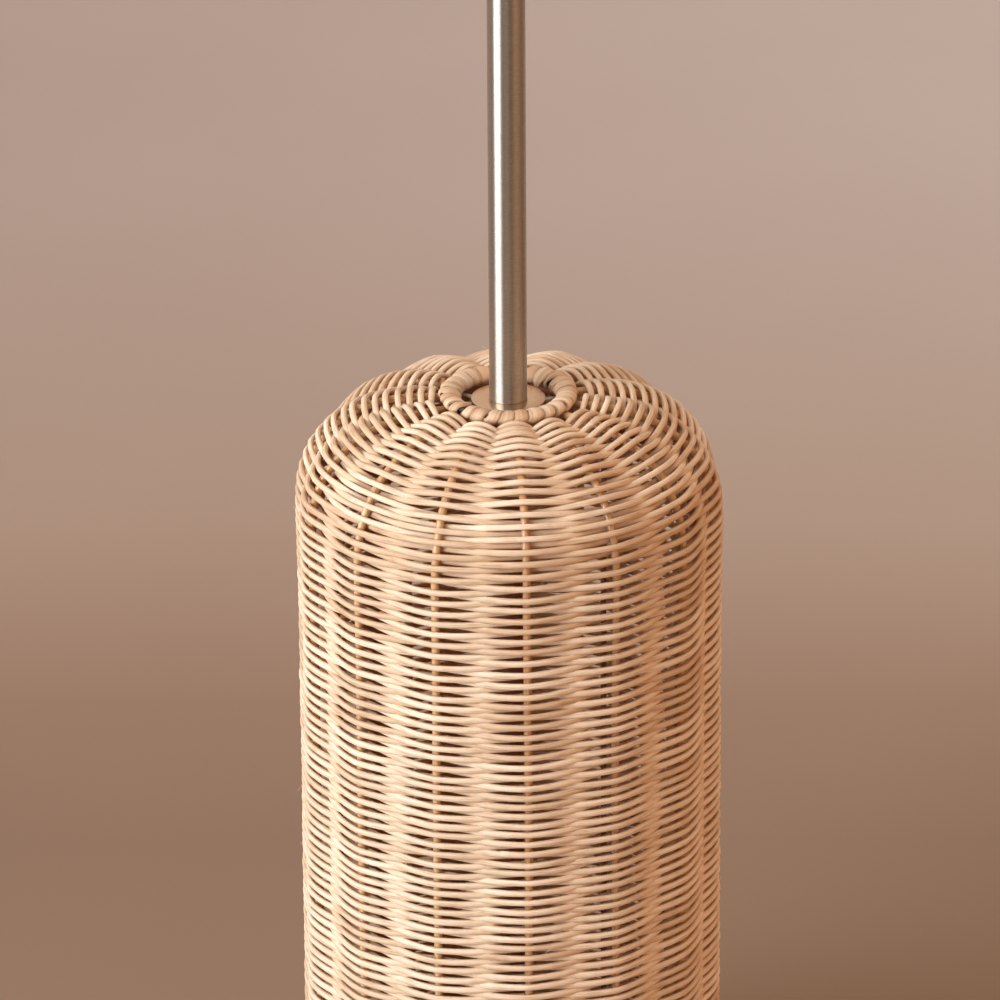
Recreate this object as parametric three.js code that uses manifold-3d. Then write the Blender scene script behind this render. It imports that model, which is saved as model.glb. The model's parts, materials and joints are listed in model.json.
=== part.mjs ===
// Rattan floor lamp: a dome-topped woven base, a satin nickel pole, a switched lampholder, a bulb and a shade.
// Millimetres, +Z up. The origin is on the floor, under the middle of the base. The front is -Y.
import * as THREE from "three";
import { mergeVertices } from "three/addons/utils/BufferGeometryUtils.js";
import Module from "manifold-3d";

// Clearances
const SEAT_GAP = 0.3; // between pieces that rest on or touch each other
const RUNNING_GAP = 0.5; // between pieces that slide, turn or screw in each other
const CUT_OVERRUN = 5; // how far a cutting tool passes the faces it cuts

// Woven shell, by its outside
const SEAT_HEIGHT = 500; // top of the disc that the pole stands on
const SHELL_RADIUS = 125.8; // over the weave at the shoulder
const SHELL_WAIST = 1; // how much the radius draws in below the shoulder
const WAIST_RUN = 70; // length of wall over which it draws in
const DOME_RISE = 3.5; // of the shell at the rim above the seat disc
const DOME_HEIGHT = 73.6; // from the rim down to the straight wall
const DOME_MOUTH_RADIUS = 40; // where the dome starts, beside the rim
const DOME_SQUARENESS = 2.27; // 2 is an ellipse, more is squarer
const DOME_LEDGE = 4; // how far the stakes' line runs on inwards, level
const WEAVE_MOUTH_RADIUS = 41; // where the topmost band ends

// Stakes and weavers
const STAKE_COUNT = 14; // even, so two weavers take turns, each always in front of every second stake
const STAKE_DIAMETER = 4.8;
const STAKE_TURN = 4.9; // degrees, how far the first stake stands round from the front
const WEAVER_COUNT = 2;
const WEAVER_THICKNESS = 3.5;
const WEAVER_ROWS = 22; // each drawn band stands for about seven rows of 3.5 mm cane
const WEAVER_GAP = 1.4; // between a band and the next one up
const WEAVE_CLEARANCE = 0.8; // between a stake and the bands that pass it
const WEAVER_TIP_STEPS = 3; // steps of the tapered ends that are left away

// Rims of the shell
const RIM_RADIUS = 34; // of the hoop's centreline, round the pole
const RIM_HALF_WIDTH = 6.8; // of its oval section, over the wrapping
const RIM_HALF_HEIGHT = 3.7;
const RIM_TILT = 15; // degrees, the outer edge stands higher
const RIM_RISE = 2.3; // of the hoop's centreline above the seat disc
const RIM_HOOP_CLEARANCE = 0.8; // between the hoop and its wrapping
const WRAP_THICKNESS = 1;
const WRAP_LOOPS = 24;
const WRAP_COVER_SHARE = 0.86; // of each loop's pitch that the strip covers
const FOOT_HOOP_SECTION_RADIUS = 5;
const FOOT_HOOP_BOTTOM = 9; // above the floor

// Welded wire frame inside the shell
const RIB_DIAMETER = 4;
const RIB_COUNT = 5;
const RIB_CLEARANCE = 0.8; // between the ribs and the weave
const HUB_RADIUS = 18;
const HUB_THICKNESS = 3;
const SPOKE_DIAMETER = 2.5;
const SPOKE_ANGLES = [22, 147, 172, 270]; // degrees from +X
const WELD_OVERLAP = 0.6; // how far welded pieces sink into each other
const HUB_RING_RADIUS = 36;

// Weighted foot
const PAD_THICKNESS = 3;
const PAD_RADIUS = 12;
const PAD_CIRCLE_RADIUS = 88;
const PAD_COUNT = 4;
const PAD_TURN = 45; // degrees
const WEIGHT_THICKNESS = 22;
const WEIGHT_EDGE_GAP = 1; // between the weight and the weave
const WEIGHT_CHAMFER = 1.2;
const NUT_RECESS_RADIUS = 22;
const NUT_RECESS_DEPTH = 16;
const WASHER_RADIUS = 13;
const WASHER_THICKNESS = 2;
const NUT_CORNER_RADIUS = 9.5;
const NUT_THICKNESS = 5;
const CHANNEL_WIDTH = 9;
const CHANNEL_DEPTH = 9;
const GROMMET_LENGTH = 12;
const GROMMET_WALL = 1;

// Stack that clamps foot, shell and pole together
const ROD_RADIUS = 5;
const ROD_BORE_RADIUS = 3.5; // the cord runs up inside
const ROD_HOLE_RADIUS = 5.4; // through each plate
const ROD_END_BELOW_NUT = 1;
const ROD_ENGAGEMENT = 20; // in the pole's foot bush
const COLUMN_RADIUS = 9.5;
const COLUMN_WALL = 1.5;
const SEAT_DISC_RADIUS = 21.8;
const SEAT_DISC_THICKNESS = 3;
const SEAT_DISC_EDGE = 0.4;

// Pole
const POLE_RADIUS = 11;
const POLE_WALL = 1;
const POLE_SECTION_LENGTH = 375;
const BUSH_LENGTH = 26;
const BUSH_INSET = 0.6;
const COUPLER_LENGTH = 60;
const COUPLER_BORE_RADIUS = 8;
const NIPPLE_ENGAGEMENT = 20; // in the pole's top bush
const NIPPLE_RISE = 7; // above the pole's top

// Lampholder
const CUP_RADIUS = 20.5;
const CUP_WALL = 1.2;
const CUP_HEIGHT = 30;
const CUP_CORNER = 6;
const LOCK_NUT_THICKNESS = 3;
const SWITCH_BODY_BOTTOM = 7.6; // above the cup's underside
const SWITCH_BODY_TOP = 24;
const SWITCH_BODY_RADIUS = 18.6;
const SKIRT_BORE_RADIUS = 16.6;
const SPIGOT_RADIUS = 18.7; // the part of the skirt inside the cup
const SKIRT_RADIUS = 19;
const SKIRT_HEIGHT = 30; // above the cup
const FLANGE_RADIUS = 25;
const FLANGE_THICKNESS = 2.5;
const INSULATOR_RADIUS = 16.2;
const INSULATOR_THICKNESS = 4;
const SCREW_SHELL_BORE_RADIUS = 13.5;
const SCREW_SHELL_WALL = 0.5;
const SCREW_SHELL_HEIGHT = 24;
const CONTACT_RADIUS = 3;
const CONTACT_HEIGHT = 2.3;

// Push-through switch bar, along X through the lampholder
const BAR_RADIUS = 3;
const BAR_TRAVEL = 5;
const BAR_STANDOUT = 4; // on the side that is pushed in
const BAR_AXIS_HEIGHT = 15.8; // above the cup's underside
const BAR_CHAMFER = 0.8;

// Shade ring, screwed down on the shade's fitter
const SHADE_RING_RADIUS = 27;
const SHADE_RING_HEIGHT = 7;
const SHADE_RING_BEAD = 2;
const SHADE_RING_WALL = 3;

// Shade
const SHADE_BOTTOM_RADIUS = 200;
const SHADE_TAPER = 20;
const SHADE_TOP_RADIUS = SHADE_BOTTOM_RADIUS - SHADE_TAPER;
const SHADE_HEIGHT = 230;
const SHADE_WALL = 1;
const SHADE_DROP = 26; // of the bottom edge below the fitter
const FITTER_RADIUS = 28;
const FITTER_THICKNESS = 2;
const SHADE_WIRE_RADIUS = 1.6;
const WIRE_INSET = 2.4; // of the wires' centrelines from the edges of the shade
const ARM_COUNT = 3;
const ARM_TURN = 30; // degrees
const ARM_SHOULDER_SHARE = 0.2; // of the arm's reach that runs level before it drops

// Bulb
const BULB_RADIUS = 30;
const BULB_LENGTH = 105;
const CAP_RADIUS = 13;
const CAP_LENGTH = 25; // over the cone and the thread
const CAP_CONE = 4;
const CAP_TIP_RADIUS = 4.5;
const CAP_TIP_LENGTH = 3;
const COLLAR_LENGTH = 20;
const COLLAR_FOOT_RADIUS = 14;
const COLLAR_FOOT_LENGTH = 6;
const COLLAR_RADIUS = 20;
const GLASS_WALL = 1.2;
const GLASS_NECK_RADIUS = 19.6;
const GLOBE_START_SHARE = 0.2; // of the angle down to the neck at which the round of the globe starts

// Facets
const SMALL_STEPS = 16; // round the smallest turned pieces
const STEPS = 24; // round the others
const FINE_STEPS = 30; // round the large ones
const SHADE_STEPS = 36;
const WIRE_SIDES = 6;
const HOOP_SIDES = 6;
const WRAP_STEPS = 8; // round each loop
const CORNER_STEPS = 2;
const GLOBE_STEPS = 5;
const WALL_SAMPLES = 40;
const DOME_SAMPLES = 120;

// Materials
const finish = (color, roughness, metalness = 0) =>
  new THREE.MeshStandardMaterial({ color, roughness, metalness });
const cane = finish(0xdcb488, 0.6);
const stakeCane = finish(0xc79a63, 0.4);
const caneStrip = finish(0xcfa57a, 0.6);
const nickel = finish(0xa39a90, 0.32, 1);
const zinc = finish(0xb9b7b2, 0.45, 1);
const castIron = finish(0x3a3a3c, 0.75, 0.6);
const rubber = finish(0x2b2b2b, 0.85);
const brass = finish(0xc2a15a, 0.35, 1);
const darkPlastic = finish(0x2a2724, 0.5);
const porcelain = finish(0xf2efe8, 0.4);
const linen = finish(0xe9e1d3, 0.9);
const opal = finish(0xf8f6f0, 0.35);
const whiteWire = finish(0xe8e6e0, 0.5);

const wasm = await Module();
wasm.setup();

const lamp = new THREE.Group();
lamp.name = "rattan_floor_lamp";
const radians = THREE.MathUtils.degToRad;

function piece(name, geometry, material) {
  const mesh = new THREE.Mesh(geometry, material);
  mesh.name = name;
  lamp.add(mesh);
}

// Shapes

function facingOut(geometry) {
  const position = geometry.attributes.position;
  const index = geometry.index.array;
  const [a, b, c] = [new THREE.Vector3(), new THREE.Vector3(), new THREE.Vector3()];
  let volume = 0;
  for (let i = 0; i < index.length; i += 3) {
    a.fromBufferAttribute(position, index[i]);
    b.fromBufferAttribute(position, index[i + 1]);
    c.fromBufferAttribute(position, index[i + 2]);
    volume += a.dot(b.cross(c));
  }
  if (volume < 0) geometry.setIndex([...index].reverse());
  return geometry;
}

// A solid of revolution about Z. The profile is a list of [radius, height] pairs. It starts and ends on the
// axis, or else closes on itself.
function turned(profile, steps = STEPS) {
  const points = profile.map(([r, z]) => new THREE.Vector2(r, z));
  if (profile[0][0] > 0) points.push(points[0].clone());
  return facingOut(new THREE.LatheGeometry(points, steps).rotateX(Math.PI / 2));
}

function tube(inner, outer, bottom, top, steps = STEPS) {
  const profile = [
    [inner, bottom],
    [outer, bottom],
    [outer, top],
    [inner, top],
  ];
  return turned(profile, steps);
}

function disc(radius, bottom, top, chamfer = 0, steps = STEPS) {
  const profile = [
    [0, bottom],
    [radius - chamfer, bottom],
    [radius, bottom + chamfer],
    [radius, top - chamfer],
    [radius - chamfer, top],
    [0, top],
  ];
  const plain = [profile[0], [radius, bottom], [radius, top], profile[profile.length - 1]];
  return turned(chamfer > 0 ? profile : plain, steps);
}

// A quarter of a circle as a list of [radius, height] pairs
function quarter(centreRadius, centreHeight, size, from, to, steps) {
  return Array.from({ length: steps + 1 }, (_, i) => {
    const angle = from + ((to - from) * i) / steps;
    return [centreRadius + size * Math.cos(angle), centreHeight + size * Math.sin(angle)];
  });
}

// A closed solid through a list of rings, each a loop of as many points, capped at both ends
function skinned(rings) {
  const count = rings[0].length;
  const positions = rings.flat().flatMap((p) => [p.x, p.y, p.z]);
  const index = [];
  for (let i = 0; i < rings.length - 1; i++)
    for (let j = 0; j < count; j++) {
      const a = i * count + j;
      const b = i * count + ((j + 1) % count);
      index.push(a, b, b + count, a, b + count, a + count);
    }
  const last = (rings.length - 1) * count;
  for (let j = 1; j < count - 1; j++) {
    index.push(0, j + 1, j);
    index.push(last, last + j, last + j + 1);
  }
  const geometry = new THREE.BufferGeometry();
  geometry.setAttribute("position", new THREE.Float32BufferAttribute(positions, 3));
  geometry.setIndex(index);
  return facingOut(geometry);
}

// A point at an angle round the axis, and the direction round the axis there
const around = (angle, r, z) => new THREE.Vector3(r * Math.cos(angle), r * Math.sin(angle), z);
const sideways = (angle) => new THREE.Vector3(-Math.sin(angle), Math.cos(angle), 0);

// A wire in the upright plane at an angle round the axis, through a list of [radius, height] pairs
function wire(angle, line, radius) {
  const side = sideways(angle);
  const points = line.map(([r, z]) => around(angle, r, z));
  const rings = points.map((point, i) => {
    const before = points[Math.max(i - 1, 0)];
    const after = points[Math.min(i + 1, points.length - 1)];
    const along = after.clone().sub(before).normalize();
    const up = new THREE.Vector3().crossVectors(side, along);
    return Array.from({ length: WIRE_SIDES }, (_, j) => {
      const turn = (2 * Math.PI * j) / WIRE_SIDES;
      const ring = point.clone().addScaledVector(side, Math.cos(turn) * radius);
      return ring.addScaledVector(up, Math.sin(turn) * radius);
    });
  });
  return skinned(rings);
}

function hoop(radius, sectionRadius, z, sides = HOOP_SIDES, steps = FINE_STEPS) {
  return new THREE.TorusGeometry(radius, sectionRadius, sides, steps).translate(0, 0, z);
}

// A round bar or bore along X, through the axis
function crossBar(radius, from, to, z, chamfer = 0) {
  return disc(radius, from, to, chamfer, STEPS).rotateY(Math.PI / 2).translate(0, 0, z);
}

// Joining and cutting

function solid(geometry) {
  const bare = new THREE.BufferGeometry().setAttribute("position", geometry.attributes.position);
  if (geometry.index) bare.setIndex(geometry.index);
  const merged = mergeVertices(bare);
  const index = merged.index.array;
  const kept = [];
  for (let i = 0; i < index.length; i += 3) {
    const [a, b, c] = [index[i], index[i + 1], index[i + 2]];
    if (a !== b && b !== c && c !== a) kept.push(a, b, c);
  }
  const mesh = new wasm.Mesh({
    numProp: 3,
    vertProperties: new Float32Array(merged.attributes.position.array),
    triVerts: new Uint32Array(kept),
  });
  return new wasm.Manifold(mesh);
}

function geometryOf(body) {
  const mesh = body.getMesh();
  const geometry = new THREE.BufferGeometry();
  geometry.setAttribute("position", new THREE.BufferAttribute(mesh.vertProperties, 3));
  geometry.setIndex(new THREE.BufferAttribute(mesh.triVerts, 1));
  return geometry;
}

const joined = (...geometries) => geometryOf(geometries.map(solid).reduce((a, b) => a.add(b)));
const cut = (geometry, ...tools) =>
  geometryOf(tools.map(solid).reduce((a, b) => a.subtract(b), solid(geometry)));

// A hexagon nut with a round hole
function nut(bottom, top) {
  const hole = disc(ROD_HOLE_RADIUS, bottom - CUT_OVERRUN, top + CUT_OVERRUN);
  return cut(disc(NUT_CORNER_RADIUS, bottom, top, 0, WIRE_SIDES), hole);
}

// Heights and radii that the pieces share, from the floor up
const weightBottom = PAD_THICKNESS + SEAT_GAP;
const weightTop = weightBottom + WEIGHT_THICKNESS;
const recessTop = weightBottom + NUT_RECESS_DEPTH;
const washerTop = recessTop - SEAT_GAP;
const nutTop = washerTop - WASHER_THICKNESS - SEAT_GAP;
const nutBottom = nutTop - NUT_THICKNESS;
const footHoopHeight = FOOT_HOOP_BOTTOM + FOOT_HOOP_SECTION_RADIUS;
const footHoopTop = footHoopHeight + FOOT_HOOP_SECTION_RADIUS;
const seatDiscBottom = SEAT_HEIGHT - SEAT_DISC_THICKNESS;
const hubTop = seatDiscBottom - SEAT_GAP;
const hubBottom = hubTop - HUB_THICKNESS;
const poleBottom = SEAT_HEIGHT + SEAT_GAP;
const poleJoint = poleBottom + POLE_SECTION_LENGTH;
const poleTop = poleJoint + SEAT_GAP + POLE_SECTION_LENGTH;
const cupBottom = poleTop + SEAT_GAP;
const cupTop = cupBottom + CUP_HEIGHT;
const flangeBottom = cupTop + SEAT_GAP;
const flangeTop = flangeBottom + FLANGE_THICKNESS;
const fitterBottom = flangeTop + SEAT_GAP;
const fitterTop = fitterBottom + FITTER_THICKNESS;
const shadeRingBottom = fitterTop + SEAT_GAP;
const insulatorBottom = cupBottom + SWITCH_BODY_TOP + SEAT_GAP;
const insulatorTop = insulatorBottom + INSULATOR_THICKNESS;
const shadeBottom = fitterBottom - SHADE_DROP;
const shadeTop = shadeBottom + SHADE_HEIGHT;

// The line of the stakes, one weave's reach inside the shell's outer surface
const weaveSwing = STAKE_DIAMETER / 2 + WEAVE_CLEARANCE + WEAVER_THICKNESS / 2;
const weaveReach = weaveSwing + WEAVER_THICKNESS / 2;

function shellOutline() {
  const top = SEAT_HEIGHT + DOME_RISE;
  const shoulder = top - DOME_HEIGHT;
  const points = [];
  for (let i = 0; i <= WALL_SAMPLES; i++) {
    const z = (shoulder * i) / WALL_SAMPLES;
    const drawn = THREE.MathUtils.smoothstep(shoulder - z, 0, WAIST_RUN);
    points.push(new THREE.Vector2(SHELL_RADIUS - SHELL_WAIST * drawn, z));
  }
  for (let i = 1; i <= DOME_SAMPLES; i++) {
    const angle = (Math.PI / 2) * (i / DOME_SAMPLES);
    const [x, y] = [Math.cos(angle), Math.sin(angle)];
    const size = (x ** DOME_SQUARENESS + y ** DOME_SQUARENESS) ** (-1 / DOME_SQUARENESS);
    const r = DOME_MOUTH_RADIUS + (SHELL_RADIUS - DOME_MOUTH_RADIUS) * x * size;
    points.push(new THREE.Vector2(r, shoulder + DOME_HEIGHT * y * size));
  }
  points.push(new THREE.Vector2(DOME_MOUTH_RADIUS - DOME_LEDGE, top));
  return points;
}

function inset(points, distance) {
  return points.map((point, i) => {
    const before = points[Math.max(i - 1, 0)];
    const after = points[Math.min(i + 1, points.length - 1)];
    const along = after.clone().sub(before).normalize();
    return point.clone().sub(new THREE.Vector2(along.y, -along.x).multiplyScalar(distance));
  });
}

const stakeLine = inset(shellOutline(), weaveReach);
const stakeLengths = [0];
for (let i = 1; i < stakeLine.length; i++)
  stakeLengths.push(stakeLengths[i - 1] + stakeLine[i].distanceTo(stakeLine[i - 1]));

// The point at a length along the line, and the way out of the shell there
function onStakeLine(length) {
  const found = stakeLengths.findIndex((end) => end >= length);
  const next = Math.max(found < 0 ? stakeLine.length - 1 : found, 1);
  const share = (length - stakeLengths[next - 1]) / (stakeLengths[next] - stakeLengths[next - 1]);
  const along = stakeLine[next].clone().sub(stakeLine[next - 1]).normalize();
  return {
    point: stakeLine[next - 1].clone().lerp(stakeLine[next], share),
    out: new THREE.Vector2(along.y, -along.x),
  };
}

// The length along the line at which its radius comes down to a value on the dome
function lengthAtRadius(radius) {
  const next = stakeLine.findIndex((point, i) => i > WALL_SAMPLES && point.x <= radius);
  const share = (radius - stakeLine[next - 1].x) / (stakeLine[next].x - stakeLine[next - 1].x);
  return stakeLengths[next - 1] + share * (stakeLengths[next] - stakeLengths[next - 1]);
}

const weaveStart = footHoopTop + SEAT_GAP;
const weaveEnd = lengthAtRadius(WEAVE_MOUTH_RADIUS);
const weavePitch = (weaveEnd - weaveStart) / WEAVER_ROWS;
const stepsPerTurn = 2 * STAKE_COUNT;
const stakeAngle = (i) => radians(STAKE_TURN - 90 + (360 / STAKE_COUNT) * i);

// An edge between rows, as a length along the line, counted in rows from the foot
const rowEdge = (rows) => weaveStart + weavePitch * THREE.MathUtils.clamp(rows, 0, WEAVER_ROWS);

// Cane, woven. Every step of a weaver is a section standing across the shell. The weavers rise together, and each
// lies one row below the one before it.
function weaverSection(n, step) {
  const angle = stakeAngle(step / 2);
  const rows = (WEAVER_COUNT * step) / stepsPerTurn - n;
  const low = onStakeLine(rowEdge(rows - 1)).point;
  const high = onStakeLine(rowEdge(rows)).point;
  const up = high.clone().sub(low).normalize();
  const out = new THREE.Vector2(up.y, -up.x);
  const swing = weaveSwing * Math.cos(Math.PI * (step / 2 + n));
  low.addScaledVector(up, WEAVER_GAP / 2);
  high.addScaledVector(up, -WEAVER_GAP / 2);
  const corner = (edge, offset) => {
    const at = edge.clone().addScaledVector(out, swing + offset);
    return around(angle, at.x, at.y);
  };
  const half = WEAVER_THICKNESS / 2;
  return [corner(low, -half), corner(low, half), corner(high, half), corner(high, -half)];
}

// One weaver's sections, from the step where its band starts to rise from the foot to where it runs out at the rim
function weaver(n) {
  const stepsPerRow = stepsPerTurn / WEAVER_COUNT;
  const first = n * stepsPerRow + WEAVER_TIP_STEPS;
  const last = (WEAVER_ROWS + 1 + n) * stepsPerRow - WEAVER_TIP_STEPS;
  const rings = [];
  for (let step = first; step <= last; step++) rings[step] = weaverSection(n, step);
  return rings;
}

// The least distance from the upper edge of each ring to the lower edge of the ring that follows it
function leastGap(rings, others, offset, ownEdge, nextEdge) {
  let least = Infinity;
  rings.forEach((ring, i) => {
    const other = others[i + offset];
    if (!other) return;
    for (const own of ownEdge)
      for (const next of nextEdge) least = Math.min(least, ring[own].distanceTo(other[next]));
  });
  return least.toFixed(2);
}

function weave() {
  const [one, two] = [weaver(0), weaver(1)];
  console.log("weaver_one to weaver_two least gap", leastGap(one, two, stepsPerTurn, [2, 3], [0, 1]));
  console.log("weaver_two to weaver_one least gap", leastGap(two, one, 0, [2, 3], [0, 1]));
  piece("weaver_one", skinned(one.filter(Boolean)), cane);
  piece("weaver_two", skinned(two.filter(Boolean)), cane);
}

// The row edges that cross a stake or rib, from its foot to its end under the rim
const stakeEndDrop = RIM_RISE - DOME_RISE + weaveReach - STAKE_DIAMETER / 2 - SEAT_GAP;
const stakeEnd = lengthAtRadius(rimRadiusBelow(stakeEndDrop));

function stakeStops(i, start, end) {
  const shoulder = SEAT_HEIGHT + DOME_RISE - DOME_HEIGHT;
  const risen = (WEAVER_COUNT * i) / STAKE_COUNT;
  const rows = Array.from({ length: WEAVER_ROWS }, (_, row) => rowEdge(row + (risen % 1)));
  const curved = rows.filter((length) => length > shoulder - WAIST_RUN && length < weaveEnd);
  return [start, ...curved, weaveEnd, end];
}

function stakes() {
  for (let i = 0; i < STAKE_COUNT; i++) {
    const line = stakeStops(i, weaveStart, stakeEnd).map((length) => onStakeLine(length).point.toArray());
    piece(`stake_${i + 1}`, wire(stakeAngle(i), line, STAKE_DIAMETER / 2), stakeCane);
  }
}

// Radius of the underside of the rim's tilted oval, at a drop below its centre
function rimRadiusBelow(drop) {
  const [level, upright] = [Math.cos(radians(RIM_TILT)), Math.sin(radians(RIM_TILT))];
  const [wide, high] = [RIM_HALF_WIDTH ** 2, RIM_HALF_HEIGHT ** 2];
  const square = level ** 2 / wide + upright ** 2 / high;
  const slope = drop * level * upright * (1 / high - 1 / wide);
  const rest = drop ** 2 * (upright ** 2 / wide + level ** 2 / high) - 1;
  return RIM_RADIUS + (Math.sqrt(Math.max(slope ** 2 - square * rest, 0)) - slope) / square;
}

// Rim, wrapped with a flat strip. A point of its tilted oval section, at a turn round the section.
function onRim(halfWidth, halfHeight, turn) {
  const [x, y] = [halfWidth * Math.cos(turn), halfHeight * Math.sin(turn)];
  const [level, upright] = [Math.cos(radians(RIM_TILT)), Math.sin(radians(RIM_TILT))];
  return [RIM_RADIUS + x * level - y * upright, SEAT_HEIGHT + RIM_RISE + x * upright + y * level];
}

function wrapSection(step) {
  const turn = (2 * Math.PI * step) / WRAP_STEPS;
  const angle = turn / WRAP_LOOPS - Math.PI / 2;
  const half = (Math.PI / WRAP_LOOPS) * WRAP_COVER_SHARE;
  const corner = (depth, side) =>
    around(angle + side * half, ...onRim(RIM_HALF_WIDTH - depth, RIM_HALF_HEIGHT - depth, turn));
  return [corner(WRAP_THICKNESS, -1), corner(0, -1), corner(0, 1), corner(WRAP_THICKNESS, 1)];
}

function rims() {
  const steps = WRAP_LOOPS * WRAP_STEPS - 1;
  const wrap = Array.from({ length: steps }, (_, step) => wrapSection(step));
  console.log("rim_wrap least gap", leastGap(wrap, wrap, WRAP_STEPS, [2, 3], [0, 1]));
  piece("rim_wrap", skinned(wrap), caneStrip);
  const depth = WRAP_THICKNESS + RIM_HOOP_CLEARANCE;
  const core = Array.from({ length: WRAP_STEPS }, (_, step) =>
    onRim(RIM_HALF_WIDTH - depth, RIM_HALF_HEIGHT - depth, (2 * Math.PI * step) / WRAP_STEPS),
  );
  piece("rim_hoop", turned(core, FINE_STEPS), cane);
  piece("foot_hoop", hoop(stakeLine[0].x, FOOT_HOOP_SECTION_RADIUS, footHoopHeight), caneStrip);
}

// Welded wire frame
const ribInset = weaveReach + RIB_CLEARANCE + RIB_DIAMETER / 2;

function ribLine(i) {
  const ringTop = weightTop + SEAT_GAP + RIB_DIAMETER;
  return stakeStops(i, ringTop + SEAT_GAP, lengthAtRadius(HUB_RING_RADIUS)).map((length) => {
    const { point, out } = onStakeLine(length);
    return point.addScaledVector(out, -ribInset).toArray();
  });
}

function frame() {
  for (let i = 0; i < RIB_COUNT; i++) {
    const stake = (i * STAKE_COUNT) / RIB_COUNT;
    piece(`frame_rib_${i + 1}`, wire(stakeAngle(stake), ribLine(stake), RIB_DIAMETER / 2), zinc);
  }
  const ringRadius = stakeLine[0].x - ribInset;
  const ringHeight = weightTop + SEAT_GAP + RIB_DIAMETER / 2;
  piece("frame_foot_ring", hoop(ringRadius, RIB_DIAMETER / 2, ringHeight), zinc);

  const hubRingHeight = SEAT_HEIGHT + DOME_RISE - weaveReach - ribInset + RIB_DIAMETER + SEAT_GAP;
  const spokeHeight = hubRingHeight + RIB_DIAMETER / 2 + SPOKE_DIAMETER / 2 - WELD_OVERLAP;
  const hub = tube(ROD_HOLE_RADIUS, HUB_RADIUS, hubBottom, hubTop);
  const ring = hoop(HUB_RING_RADIUS, RIB_DIAMETER / 2, hubRingHeight);
  const spokes = SPOKE_ANGLES.map((angle) => {
    const line = [
      [HUB_RADIUS - SPOKE_DIAMETER, spokeHeight],
      [HUB_RING_RADIUS, spokeHeight],
    ];
    return wire(radians(angle), line, SPOKE_DIAMETER / 2);
  });
  piece("frame_hub", joined(hub, ring, ...spokes), whiteWire);
}

// Weighted foot
function foot() {
  for (let i = 0; i < PAD_COUNT; i++) {
    const at = around(radians(PAD_TURN + (360 / PAD_COUNT) * i), PAD_CIRCLE_RADIUS, 0);
    const pad = disc(PAD_RADIUS, 0, PAD_THICKNESS, 0, SMALL_STEPS).translate(at.x, at.y, 0);
    piece(`foot_pad_${i + 1}`, pad, rubber);
  }

  const radius = stakeLine[0].x - weaveReach - WEIGHT_EDGE_GAP;
  const plate = disc(radius, weightBottom, weightTop, WEIGHT_CHAMFER, FINE_STEPS);
  const recess = disc(NUT_RECESS_RADIUS, weightBottom - CUT_OVERRUN, recessTop);
  const hole = disc(ROD_HOLE_RADIUS, weightBottom, weightTop + CUT_OVERRUN);
  const reach = radius + CUT_OVERRUN;
  const channelHeight = CHANNEL_DEPTH + CUT_OVERRUN;
  const channel = new THREE.BoxGeometry(CHANNEL_WIDTH, reach, channelHeight);
  channel.translate(0, reach / 2, weightBottom + CHANNEL_DEPTH - channelHeight / 2);
  piece("foot_weight", cut(plate, recess, hole, channel), castIron);

  const grommetRadius = CHANNEL_WIDTH / 2 - SEAT_GAP;
  const grommetHeight = weightBottom + CHANNEL_DEPTH - SEAT_GAP - grommetRadius;
  const half = GROMMET_LENGTH / 2;
  const grommet = tube(grommetRadius - GROMMET_WALL, grommetRadius, -half, half, SMALL_STEPS);
  grommet.rotateX(Math.PI / 2).translate(0, radius - half, grommetHeight);
  piece("cord_grommet", grommet, rubber);
}

// Stack on the weight
function stack() {
  piece("tie_washer", tube(ROD_HOLE_RADIUS, WASHER_RADIUS, washerTop - WASHER_THICKNESS, washerTop), zinc);
  piece("tie_nut", nut(nutBottom, nutTop), zinc);
  const rodTop = poleBottom + BUSH_INSET + ROD_ENGAGEMENT;
  piece("tie_rod", tube(ROD_BORE_RADIUS, ROD_RADIUS, nutBottom - ROD_END_BELOW_NUT, rodTop), zinc);
  const columnBore = COLUMN_RADIUS - COLUMN_WALL;
  piece("inner_column", tube(columnBore, COLUMN_RADIUS, weightTop + SEAT_GAP, hubBottom - SEAT_GAP), zinc);
  const edge = [
    [ROD_HOLE_RADIUS, seatDiscBottom],
    [SEAT_DISC_RADIUS, seatDiscBottom],
    [SEAT_DISC_RADIUS, SEAT_HEIGHT - SEAT_DISC_EDGE],
    [SEAT_DISC_RADIUS - SEAT_DISC_EDGE, SEAT_HEIGHT],
    [ROD_HOLE_RADIUS, SEAT_HEIGHT],
  ];
  piece("seat_disc", turned(edge, FINE_STEPS), nickel);
}

// Pole
function pole() {
  const bore = POLE_RADIUS - POLE_WALL;
  const bushRadius = bore - RUNNING_GAP;
  piece("pole_lower", tube(bore, POLE_RADIUS, poleBottom, poleJoint), nickel);
  piece("pole_upper", tube(bore, POLE_RADIUS, poleJoint + SEAT_GAP, poleTop), nickel);
  const couplerBottom = poleJoint - COUPLER_LENGTH / 2;
  const coupler = tube(COUPLER_BORE_RADIUS, bushRadius, couplerBottom, couplerBottom + COUPLER_LENGTH);
  piece("pole_coupler", coupler, zinc);
  const footBush = poleBottom + BUSH_INSET;
  piece("pole_foot_bush", tube(ROD_HOLE_RADIUS, bushRadius, footBush, footBush + BUSH_LENGTH), zinc);
  const topBush = poleTop - BUSH_INSET;
  piece("pole_top_bush", tube(ROD_HOLE_RADIUS, bushRadius, topBush - BUSH_LENGTH, topBush), zinc);
  const nipple = tube(ROD_BORE_RADIUS, ROD_RADIUS, poleTop - NIPPLE_ENGAGEMENT, poleTop + NIPPLE_RISE);
  piece("cup_nipple", nipple, zinc);
}

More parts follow.
